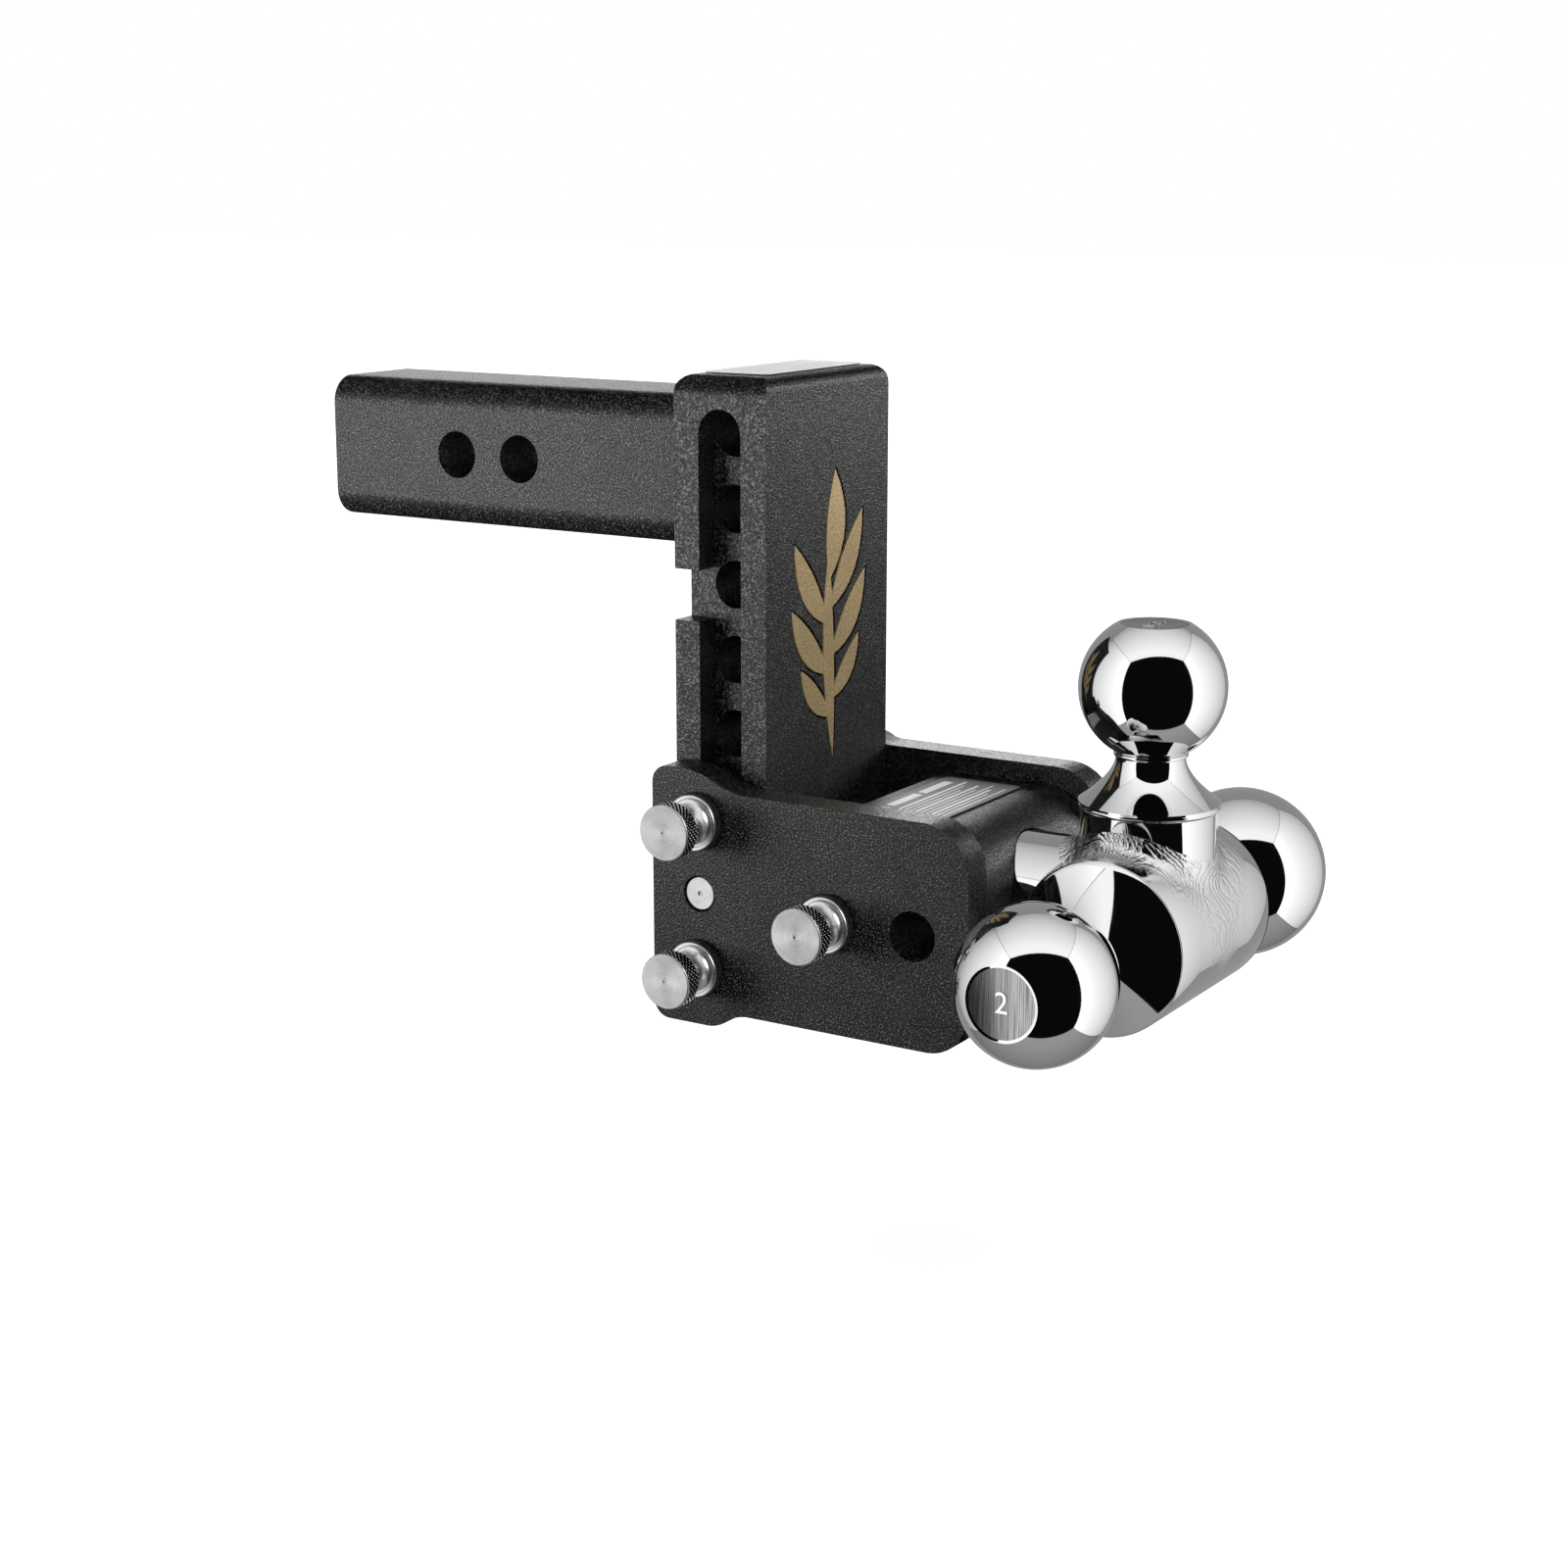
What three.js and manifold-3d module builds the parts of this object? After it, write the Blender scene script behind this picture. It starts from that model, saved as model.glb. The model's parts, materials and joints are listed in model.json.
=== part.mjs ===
// Adjustable three-ball trailer hitch, in millimetres, +Z up.
// +X points away from the vehicle, towards the balls. The origin is on the shank's axis,
// at the receiver pin hole nearest the upright.
import * as THREE from "three";
import { mergeVertices } from "three/addons/utils/BufferGeometryUtils.js";
import Module from "manifold-3d";

const wasm = await Module();
wasm.setup();

// ---- driving dimensions -------------------------------------------------

const gap = 0.3; // clearance left between pieces that touch
const pitch = 25.4; // height adjustment step

const shank = {
  side: 50.8,
  corner: 9.5,
  length: 160,
  holeSpacing: 27.8,
  holeR: 8.25,
  weldLeg: 6,
};

const upright = {
  front: 75.7, // face that the shank is welded to
  thick: 36,
  halfWidth: 39.7,
  top: 33.8,
  bottom: -182.5,
  topHole: 14.8,
  holeCount: 8,
  holeR: 8.15,
  grooveDepth: 9.7,
  grooveWidth: 16.5,
  notchTop: -30.6,
  notchBottom: -47.9,
  sideCorner: 5, // rounding of the ends, seen from the side
  topCorner: 7, // rounding of the top corners, seen from behind
};

const topLabel = { margin: 5.5, near: -30, far: 31 };

const housing = {
  inner: 41.3, // mid-plane to a side plate's inner face
  plate: 12,
  front: 75,
  rear: 195.9,
  top: -101.7,
  bottom: -177.8,
  frontTop: -95, // the plates are taller where they clasp the upright
  frontBottom: -183.4,
  topSlope: [92.7, 106.9], // start and end of the slope down to the lower part
  bottomSlope: [100.7, 108.7],
  frontR: 6,
  rearTopR: 17,
  rearBottomR: 14.5,
  topSlopeR: 28,
  bottomSlopeR: 14,
};

const block = {
  frontEdge: 137.3,
  front: 129.7,
  halfHeight: 31.7,
  noseR: 23,
  boreR: 25.8,
  weldLeg: 3.6,
  labelStart: 5, // from the front edge
  labelWidth: 29,
  labelHalf: 30,
};

const ballAxisZ = -139.7;
const ballPinX = 144.7;
const spareHoleX = 175.7;
const spareHoleR = 8.4;
const ballCentreX = 232.7;
const ballReach = 78.5; // barrel centre to each ball's centre

const pin = {
  rodR: 7.94,
  holeR: 8.25,
  proud: 20.8,
  headR: 9.6,
  headLength: 7.1,
  neckR: 5.4,
  flange: 2,
  ring: 2.3, // thickness of the rubber ring under the flange
  ringInner: 8.3,
  ringOuter: 9.9,
};
const guide = { stemR: 5.8, holeR: 6.3, rollerR: 7.9, sunk: 0.6 };
const lock = {
  headR: 9.5,
  length: 15,
  boreR: 5.9,
  boreDepth: 8,
  tailR: 5.5,
  tailLength: 7.5,
  capR: 7.6,
  capLength: 2,
};

const barrel = { r: 28.575, halfLength: 34.5 };
const collar = { r: 22.2, base: 14, top: 39.2, rimR: 23, rimHeight: 41.6 }; // heights from the barrel's axis
const neckR = 11.3;
const flatR = 12; // flat end of each ball
const shaft = { r: 25.4, inner: 154.2 };
const balls = [
  { name: "ball_near", r: 25.4, turn: "near" },
  { name: "ball_far", r: 29.37, turn: "far" },
  { name: "ball_top", r: 23.81, turn: "top" },
];

const uprightMidX = upright.front + upright.thick / 2;
const plateOuter = housing.inner + housing.plate;
const webHalf = upright.halfWidth - upright.grooveDepth;
const holeZ = (index) => upright.topHole - pitch * index;
const upperPinZ = holeZ(5);
const guideZ = holeZ(6);
const lowerPinZ = holeZ(7);

// ---- materials ----------------------------------------------------------

const finish = (color, roughness, metalness) =>
  new THREE.MeshStandardMaterial({ color, roughness, metalness });

const blackCoat = finish(0x1b1b1c, 0.55, 0.2);
const chrome = finish(0xd9dadb, 0.06, 1);
const spunAluminium = finish(0xc9cacb, 0.3, 1);
const pinSteel = finish(0xaeb0b2, 0.25, 1);
const goldPaint = finish(0xa8894c, 0.45, 0.6);
const silverFoil = finish(0xb9babb, 0.4, 0.4);
const rubber = finish(0x0d0d0d, 0.8, 0);

// ---- mesh and solid helpers ---------------------------------------------

function toSolid(geometry) {
  const bare = geometry.index ? geometry.clone() : geometry;
  bare.deleteAttribute("normal");
  bare.deleteAttribute("uv");
  const merged = mergeVertices(bare, 1e-4);
  const index = merged.index.array;
  const kept = [];
  for (let i = 0; i < index.length; i += 3) {
    const [a, b, c] = [index[i], index[i + 1], index[i + 2]];
    if (a !== b && b !== c && a !== c) kept.push(a, b, c);
  }
  return new wasm.Manifold(new wasm.Mesh({
    numProp: 3,
    vertProperties: new Float32Array(merged.attributes.position.array),
    triVerts: new Uint32Array(kept),
  }));
}

function toGeometry(solid) {
  const mesh = solid.getMesh();
  const geometry = new THREE.BufferGeometry();
  geometry.setAttribute("position", new THREE.BufferAttribute(mesh.vertProperties, 3));
  geometry.setIndex(new THREE.BufferAttribute(mesh.triVerts, 1));
  geometry.computeVertexNormals();
  return geometry;
}

const group = new THREE.Group();

function addPiece(name, solid, material) {
  const mesh = new THREE.Mesh(toGeometry(solid), material);
  mesh.name = name;
  group.add(mesh);
}

const subtractAll = (solid, cutters) => cutters.reduce((left, cutter) => left.subtract(cutter), solid);

// A closed outline from corners [x, y, radius], each rounded with a true arc.
function roundedOutline(corners, arcSteps = 8) {
  const points = [];
  corners.forEach(([x, y, radius], i) => {
    const here = new THREE.Vector2(x, y);
    if (!radius) {
      points.push(here);
      return;
    }
    const before = corners[(i + corners.length - 1) % corners.length];
    const after = corners[(i + 1) % corners.length];
    const toBefore = new THREE.Vector2(before[0] - x, before[1] - y).normalize();
    const toAfter = new THREE.Vector2(after[0] - x, after[1] - y).normalize();
    const half = Math.acos(THREE.MathUtils.clamp(toBefore.dot(toAfter), -1, 1)) / 2;
    const middle = toBefore.clone().add(toAfter).normalize();
    const centre = here.clone().addScaledVector(middle, radius / Math.sin(half));
    const start = here.clone().addScaledVector(toBefore, radius / Math.tan(half)).sub(centre);
    const end = here.clone().addScaledVector(toAfter, radius / Math.tan(half)).sub(centre);
    const sweep = Math.atan2(start.cross(end), start.dot(end));
    for (let step = 0; step <= arcSteps; step += 1) {
      const spoke = start.clone().rotateAround(new THREE.Vector2(), (sweep * step) / arcSteps);
      points.push(centre.clone().add(spoke));
    }
  });
  return new THREE.Shape(points);
}

function extrudeAlong(shape, low, high, right, up, out) {
  const settings = { depth: high - low, bevelEnabled: false, curveSegments: 8 };
  const geometry = new THREE.ExtrudeGeometry(shape, settings);
  geometry.translate(0, 0, low);
  geometry.applyMatrix4(new THREE.Matrix4().makeBasis(right, up, out));
  return toSolid(geometry);
}

const axisX = new THREE.Vector3(1, 0, 0);
const axisY = new THREE.Vector3(0, 1, 0);
const axisZ = new THREE.Vector3(0, 0, 1);

// Outline in (x, z), carried from y = low to y = high.
const extrudeY = (shape, low, high) => extrudeAlong(shape, -high, -low, axisX, axisZ, axisY.clone().negate());
// Outline in (y, z), carried from x = low to x = high.
const extrudeX = (shape, low, high) => extrudeAlong(shape, low, high, axisY, axisZ, axisX);

function cylinder(axis, radius, low, high, [u, v], segments = 40) {
  const geometry = new THREE.CylinderGeometry(radius, radius, high - low, segments);
  geometry.translate(0, (low + high) / 2, 0);
  if (axis === "x") geometry.rotateZ(-Math.PI / 2).translate(0, u, v);
  if (axis === "y") geometry.translate(u, 0, v);
  if (axis === "z") geometry.rotateX(Math.PI / 2).translate(u, v, 0);
  return toSolid(geometry);
}

function box(x0, x1, y0, y1, z0, z1) {
  const geometry = new THREE.BoxGeometry(x1 - x0, y1 - y0, z1 - z0);
  return toSolid(geometry.translate((x0 + x1) / 2, (y0 + y1) / 2, (z0 + z1) / 2));
}

// A turned piece: [radius, height] pairs from the bottom to the top of its own +Y axis.
function turned(profile, segments = 32) {
  return new THREE.LatheGeometry(profile.map(([r, h]) => new THREE.Vector2(r, h)), segments);
}

// ---- shank ----------------------------------------------------------------

function squareOutline(half, corner, steps) {
  const corners = [[-1, -1], [1, -1], [1, 1], [-1, 1]];
  return roundedOutline(corners.map(([y, z]) => [half * y, half * z, corner]), steps);
}

// Solid square bar with the two receiver pin holes.
function shankBar() {
  const half = shank.side / 2;
  const rearEnd = upright.front - gap;
  const frontEnd = upright.front - shank.length;
  const bar = extrudeX(squareOutline(half, shank.corner, 8), frontEnd, rearEnd);
  const holes = [0, -shank.holeSpacing].map((x) => cylinder("y", shank.holeR, -half - 1, half + 1, [x, 0]));
  return subtractAll(bar, holes);
}

// Fillet weld round the shank, where it meets the upright.
function shankWeld() {
  const half = shank.side / 2;
  const leg = shank.weldLeg;
  const steps = 2;
  let weld = null;
  for (let i = 0; i < steps; i += 1) {
    const grow = (leg * (i + 1)) / steps;
    const low = upright.front - gap - leg + (leg * i) / steps;
    const slice = extrudeX(squareOutline(half + grow, shank.corner + grow, 4), low, upright.front - gap);
    weld = weld ? weld.add(slice) : slice;
  }
  const clearOfBar = squareOutline(half + gap, shank.corner + gap, 4);
  return weld.subtract(extrudeX(clearOfBar, upright.front - 2 * leg, upright.front + 1));
}

// ---- upright ----------------------------------------------------------------

function grooveOutline(width, topZ, bottomZ) {
  const r = width / 2;
  const shape = new THREE.Shape();
  shape.moveTo(uprightMidX - r, bottomZ);
  shape.lineTo(uprightMidX + r, bottomZ);
  shape.lineTo(uprightMidX + r, topZ);
  shape.absarc(uprightMidX, topZ, r, 0, Math.PI, false);
  return shape;
}

// One leaf of the emblem in (y, z): bowed more on one side, and grown evenly by grow.
function leafOutline([y0, z0], [y1, z1], width, grow) {
  const along = new THREE.Vector2(y1 - y0, z1 - z0).normalize();
  const side = new THREE.Vector2(-along.y, along.x);
  if (y1 > y0) side.negate();
  const base = new THREE.Vector2(y0, z0).addScaledVector(along, -grow * 1.4);
  const tip = new THREE.Vector2(y1, z1).addScaledVector(along, grow * 1.4);
  const middle = base.clone().add(tip).multiplyScalar(0.5);
  const outer = middle.clone().addScaledVector(side, 2 * (0.72 * width + grow));
  const inner = middle.clone().addScaledVector(side, -2 * (0.28 * width + grow));
  const shape = new THREE.Shape();
  shape.moveTo(base.x, base.y);
  shape.quadraticCurveTo(outer.x, outer.y, tip.x, tip.y);
  shape.quadraticCurveTo(inner.x, inner.y, base.x, base.y);
  return shape;
}

// A plain leafy sprig, drawn about its own centre.
const emblem = {
  y: 0.5,
  z: -49.5,
  depth: 1.2,
  line: 0.9,
  leaves: [
    { base: [3, -50], tip: [0, 24], width: 7 },
    { base: [0, 12], tip: [4, 50], width: 12 },
    { base: [0, 2], tip: [22, 35], width: 10 },
    { base: [1, -14], tip: [24, 14], width: 10 },
    { base: [1.5, -29], tip: [20, -8], width: 8 },
    { base: [0, -3], tip: [-22, 27], width: 10 },
    { base: [0.5, -20], tip: [-24, 5], width: 10 },
    { base: [1.5, -35], tip: [-18, -16], width: 8 },
  ],
};

function sprig(low, high, grow) {
  const centre = ([y, z]) => [y + emblem.y, z + emblem.z];
  const parts = emblem.leaves.map(({ base, tip, width }) =>
    extrudeX(leafOutline(centre(base), centre(tip), width, grow), low, high));
  return parts.reduce((all, leaf) => all.add(leaf));
}

function uprightBlock() {
  const { front, thick, halfWidth, top, bottom, sideCorner, topCorner } = upright;
  const rear = front + thick;
  const side = roundedOutline([
    [front, bottom, sideCorner], [rear, bottom, sideCorner],
    [rear, top, sideCorner], [front, top, sideCorner],
  ], 5);
  const back = roundedOutline([
    [-halfWidth, bottom, topCorner], [halfWidth, bottom, topCorner],
    [halfWidth, top, topCorner], [-halfWidth, top, topCorner],
  ], 6);
  const body = extrudeY(side, -halfWidth, halfWidth).intersect(extrudeX(back, front, rear));
  const cutters = [sprig(rear - emblem.depth, rear + 1, emblem.line)];
  const slot = grooveOutline(upright.grooveWidth, upright.topHole, bottom - 1);
  [[-halfWidth - 1, -webHalf], [webHalf, halfWidth + 1]].forEach(([low, high]) => {
    cutters.push(extrudeY(slot, low, high));
    cutters.push(box(front - 1, uprightMidX, low, high, upright.notchBottom, upright.notchTop));
  });
  for (let i = 0; i < upright.holeCount; i += 1) {
    cutters.push(cylinder("y", upright.holeR, -halfWidth, halfWidth, [uprightMidX, holeZ(i)], 28));
  }
  return subtractAll(body, cutters);
}

function emblemInlay() {
  const rear = upright.front + upright.thick;
  return sprig(rear - emblem.depth + gap, rear - 0.1, 0);
}

function topLabelFoil() {
  const low = upright.front + topLabel.margin;
  const high = upright.front + upright.thick - topLabel.margin;
  return box(low, high, topLabel.near, topLabel.far, upright.top + gap, upright.top + 2 * gap);
}

// ---- housing ------------------------------------------------------------------

function plateOutline() {
  const { front, rear, top, bottom, frontTop, frontBottom } = housing;
  const { frontR, rearTopR, rearBottomR, topSlopeR, bottomSlopeR, topSlope, bottomSlope } = housing;
  return roundedOutline([
    [front, frontBottom, frontR],
    [bottomSlope[0], frontBottom, bottomSlopeR],
    [bottomSlope[1], bottom, bottomSlopeR],
    [rear, bottom, rearBottomR],
    [rear, top, rearTopR],
    [topSlope[1], top, topSlopeR],
    [topSlope[0], frontTop, topSlopeR],
    [front, frontTop, frontR],
  ]);
}

function sidePlate(side) {
  const [low, high] = side < 0 ? [-plateOuter, -housing.inner] : [housing.inner, plateOuter];
  const holes = [
    [uprightMidX, upperPinZ, pin.holeR],
    [uprightMidX, lowerPinZ, pin.holeR],
    [uprightMidX, guideZ, guide.holeR],
    [ballPinX, ballAxisZ, pin.holeR],
    [spareHoleX, ballAxisZ, spareHoleR],
  ];
  const cutters = holes.map(([x, z, r]) => cylinder("y", r, low - 1, high + 1, [x, z], 32));
  return subtractAll(extrudeY(plateOutline(), low, high), cutters);
}

// Guide pin pressed in a side plate; its roller rides in the upright's groove.
function guidePin(side) {
  const profile = [
    [0, webHalf + 0.8], [guide.rollerR - 0.8, webHalf + 0.8], [guide.rollerR, webHalf + 1.6],
    [guide.rollerR, housing.inner - gap], [guide.stemR, housing.inner - gap],
    [guide.stemR, plateOuter - guide.sunk], [0, plateOuter - guide.sunk],
  ];
  const geometry = turned(profile, 20);
  if (side < 0) geometry.rotateX(Math.PI);
  return toSolid(geometry.translate(uprightMidX, 0, guideZ));
}

function blockOutline() {
  const { frontEdge, front, halfHeight, noseR } = block;
  const [top, bottom] = [ballAxisZ + halfHeight, ballAxisZ - halfHeight];
  const chamfer = frontEdge - front;
  return roundedOutline([
    [frontEdge, bottom, 0], [housing.rear, bottom, noseR], [housing.rear, top, noseR],
    [frontEdge, top, 0], [front, top - chamfer, 0], [front, bottom + chamfer, 0],
  ], 10);
}

function socketBlock() {
  const half = housing.inner - gap;
  const cutters = [
    cylinder("x", block.boreR, block.front - 1, housing.rear + 1, [0, ballAxisZ], 40),
    cylinder("y", pin.holeR, -half - 1, half + 1, [ballPinX, ballAxisZ], 36),
    cylinder("y", spareHoleR, -half - 1, half + 1, [spareHoleX, ballAxisZ], 36),
  ];
  return subtractAll(extrudeY(blockOutline(), -half, half), cutters);
}

// Fillet weld along one long edge of the block, against a side plate.
function blockWeld(side, upper) {
  const leg = block.weldLeg;
  const surface = ballAxisZ + upper * (block.halfHeight + gap);
  const wall = side * (housing.inner - gap);
  const corner = [wall, surface];
  const onBlock = [wall - side * leg, surface];
  const hollow = [wall - side * leg * 0.4, surface + upper * leg * 0.4];
  const onPlate = [wall, surface + upper * leg];
  const outline = [corner, onBlock, hollow, onPlate].map(([y, z]) => [y, z, 0]);
  if (side * upper < 0) outline.reverse();
  return extrudeX(roundedOutline(outline), block.frontEdge + 1, housing.rear - block.noseR + 1);
}

function dataLabel() {
  const low = ballAxisZ + block.halfHeight + gap;
  const start = block.frontEdge + block.labelStart;
  return box(start, start + block.labelWidth, -block.labelHalf, block.labelHalf, low, low + gap);
}

// ---- pins -----------------------------------------------------------------------

// Knurled pull knob, turned about Y; its flange faces the near side plate.
function pinKnob(x, z) {
  const { headR, neckR } = pin;
  const face = plateOuter + 2 * gap + pin.ring;
  const waist = face + pin.flange;
  const end = plateOuter + pin.proud;
  const head = end - pin.headLength;
  const profile = [
    [0, face], [headR, face], [headR, waist], [headR - 1.2, waist + 0.4], [neckR + 1, waist + 1.4],
    [neckR, waist + 3], [neckR, head - 1.2], [headR, head], [headR, end - 0.5], [headR - 0.5, end], [0, end],
  ];
  return toSolid(turned(profile, 24).rotateX(Math.PI).translate(x, 0, z));
}

function pinRing(x, z) {
  const low = plateOuter + gap;
  const high = low + pin.ring;
  const edge = pin.ringOuter - 0.7;
  const profile = [
    [pin.ringInner, low], [edge, low], [pin.ringOuter, (low + high) / 2], [edge, high],
    [pin.ringInner, high], [pin.ringInner, low],
  ];
  return toSolid(turned(profile, 24).rotateX(Math.PI).translate(x, 0, z));
}

// Plain rod of a pin, from just inside its knob to its tip at y = tip.
function pinRod(x, z, tip, tail) {
  const head = plateOuter + gap + pin.ring;
  const far = [[pin.rodR, -head], [pin.rodR, tip - 1], [pin.rodR - 1, tip]];
  if (tail) far.push([lock.tailR, tip], [lock.tailR, tip + tail - 0.6], [lock.tailR - 0.6, tip + tail]);
  const last = far[far.length - 1];
  const profile = [[0, -head], ...far, [0, last[1]]];
  return toSolid(turned(profile, 24).translate(x, 0, z));
}

// Lock head that closes the far end of a pin, with a blind bore for the pin's tail.
function lockHead(x, z) {
  const start = plateOuter + gap;
  const end = start + lock.length;
  const profile = [
    [0, start + lock.boreDepth], [lock.boreR, start + lock.boreDepth], [lock.boreR, start],
    [lock.headR - 0.6, start], [lock.headR, start + 0.6], [lock.headR, end - 1],
    [lock.headR - 1, end], [0, end],
  ];
  return toSolid(turned(profile, 20).translate(x, 0, z));
}

function lockCap(x, z) {
  const start = plateOuter + lock.length + 2 * gap;
  const end = start + lock.capLength;
  const profile = [[0, start], [lock.capR, start], [lock.capR, end - 0.7], [lock.capR - 0.7, end], [0, end]];
  return toSolid(turned(profile, 20).translate(x, 0, z));
}

// ---- ball mount -------------------------------------------------------------------

const barrelCut = cylinder("y", barrel.r + gap, -60, 60, [ballCentreX, ballAxisZ], 40);

// A ball with its neck and the flare below it, turned in one piece.
function ballPiece({ r, turn }) {
  const onCollar = turn === "top";
  const low = onCollar ? collar.base : barrel.halfLength + gap;
  const [rimR, rimHeight] = onCollar ? [collar.rimR, collar.rimHeight] : [barrel.r, low + 0.4];
  const underAngle = Math.asin(neckR / r);
  const flatAngle = Math.asin(flatR / r);
  const neckLow = ballReach - r * Math.cos(underAngle) - 0.9;
  const profile = [[0, low]];
  if (onCollar) profile.push([collar.r, low], [collar.r, collar.top], [rimR, collar.top + 0.6]);
  else profile.push([barrel.r, low]);
  const flareSteps = 4;
  for (let i = 0; i <= flareSteps; i += 1) {
    const rise = i / flareSteps;
    profile.push([neckR + (rimR - neckR) * (1 - rise) ** 1.7, rimHeight + (neckLow - rimHeight) * rise]);
  }
  const rows = 9;
  for (let i = 0; i <= rows; i += 1) {
    const fromTop = Math.PI - underAngle - ((Math.PI - underAngle - flatAngle) * i) / rows;
    profile.push([r * Math.sin(fromTop), ballReach + r * Math.cos(fromTop)]);
  }
  profile.push([0, ballReach + r * Math.cos(flatAngle)]);
  const geometry = turned(profile, 28);
  if (turn === "near") geometry.rotateX(Math.PI);
  if (onCollar) geometry.rotateX(Math.PI / 2);
  const solid = toSolid(geometry.translate(ballCentreX, 0, ballAxisZ));
  return onCollar ? solid.subtract(barrelCut) : solid;
}

// A turned piece standing on the barrel: up for the top ball, towards the housing for the shaft.
function onBarrel(profile, turn, segments) {
  const geometry = turned(profile, segments);
  if (turn === "top") geometry.rotateX(Math.PI / 2);
  else geometry.rotateZ(Math.PI / 2);
  return toSolid(geometry.translate(ballCentreX, 0, ballAxisZ));
}

// Outlines of the two welds, as they stand on the barrel's axis.
const collarWeldCone = { baseR: 28, base: 10, shoulderR: 26.6, shoulder: 22, topR: 22.9, top: 36.4 };
const shaftWeldCone = { baseR: 28.2, base: 6, shoulderR: 28.2, shoulder: 16, topR: 26.2, top: 32.5 };

function weldCone(cone, grow, turn, segments) {
  return onBarrel([
    [0, cone.base], [cone.baseR + grow, cone.base], [cone.shoulderR + grow, cone.shoulder],
    [cone.topR + grow, cone.top + grow], [0, cone.top + grow],
  ], turn, segments);
}

const collarCone = (grow) => weldCone(collarWeldCone, grow, "top", 28);

function ballShaft() {
  const body = cylinder("x", shaft.r, shaft.inner, ballCentreX - 8, [0, ballAxisZ], 40);
  const [low, high] = [-shaft.r - 1, shaft.r + 1];
  return subtractAll(body, [
    barrelCut,
    collarCone(gap),
    cylinder("y", spareHoleR, low, high, [spareHoleX, ballAxisZ], 24),
    cylinder("z", spareHoleR, low + ballAxisZ, high + ballAxisZ, [spareHoleX, 0], 24),
  ]);
}

// Weld round the top ball's collar, where it sits on the barrel.
function collarWeld() {
  const inner = cylinder("z", collar.r + gap, ballAxisZ, ballAxisZ + collar.top, [ballCentreX, 0], 28);
  return collarCone(0).subtract(inner).subtract(barrelCut);
}

// Weld round the shaft, where it meets the barrel.
function shaftWeld() {
  const cone = weldCone(shaftWeldCone, 0, "shaft", 32);
  const inner = cylinder("x", shaft.r + gap, shaft.inner, ballCentreX, [0, ballAxisZ], 40);
  return subtractAll(cone, [inner, barrelCut, collarCone(gap)]);
}

// ---- assembly -----------------------------------------------------------------------

addPiece("shank_bar", shankBar(), blackCoat);
addPiece("shank_weld", shankWeld(), blackCoat);
addPiece("upright", uprightBlock(), blackCoat);
addPiece("emblem_inlay", emblemInlay(), goldPaint);
addPiece("top_label", topLabelFoil(), silverFoil);

addPiece("side_plate_near", sidePlate(-1), blackCoat);
addPiece("side_plate_far", sidePlate(1), blackCoat);
addPiece("guide_pin_near", guidePin(-1), pinSteel);
addPiece("guide_pin_far", guidePin(1), pinSteel);
addPiece("socket_block", socketBlock(), blackCoat);
addPiece("block_weld_top_near", blockWeld(-1, 1), blackCoat);
addPiece("block_weld_top_far", blockWeld(1, 1), blackCoat);
addPiece("block_weld_bottom_near", blockWeld(-1, -1), blackCoat);
addPiece("block_weld_bottom_far", blockWeld(1, -1), blackCoat);
addPiece("data_label", dataLabel(), silverFoil);

const pins = [
  { name: "lock_pin_upper", x: uprightMidX, z: upperPinZ, tip: -webHalf - 0.6, tail: 0 },
  { name: "lock_pin_lower", x: uprightMidX, z: lowerPinZ, tip: -webHalf - 0.6, tail: 0 },
  { name: "ball_pin", x: ballPinX, z: ballAxisZ, tip: plateOuter, tail: lock.tailLength },
];
pins.forEach(({ name, x, z, tip, tail }) => {
  addPiece(`${name}_rod`, pinRod(x, z, tip, tail), pinSteel);
  addPiece(`${name}_knob`, pinKnob(x, z), spunAluminium);
  addPiece(`${name}_ring`, pinRing(x, z), rubber);
  addPiece(`${name}_lock_head`, lockHead(x, z), pinSteel);
  addPiece(`${name}_lock_cap`, lockCap(x, z), rubber);
});

const barrelAxis = [ballCentreX, ballAxisZ];
addPiece("barrel", cylinder("y", barrel.r, -barrel.halfLength, barrel.halfLength, barrelAxis), chrome);
balls.forEach((ball) => addPiece(ball.name, ballPiece(ball), chrome));
addPiece("ball_shaft", ballShaft(), chrome);
addPiece("collar_weld", collarWeld(), chrome);
addPiece("shaft_weld", shaftWeld(), chrome);

export default group;
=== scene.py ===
import json
import math
import bpy
import bmesh
from mathutils import Matrix, Vector, noise

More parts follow.
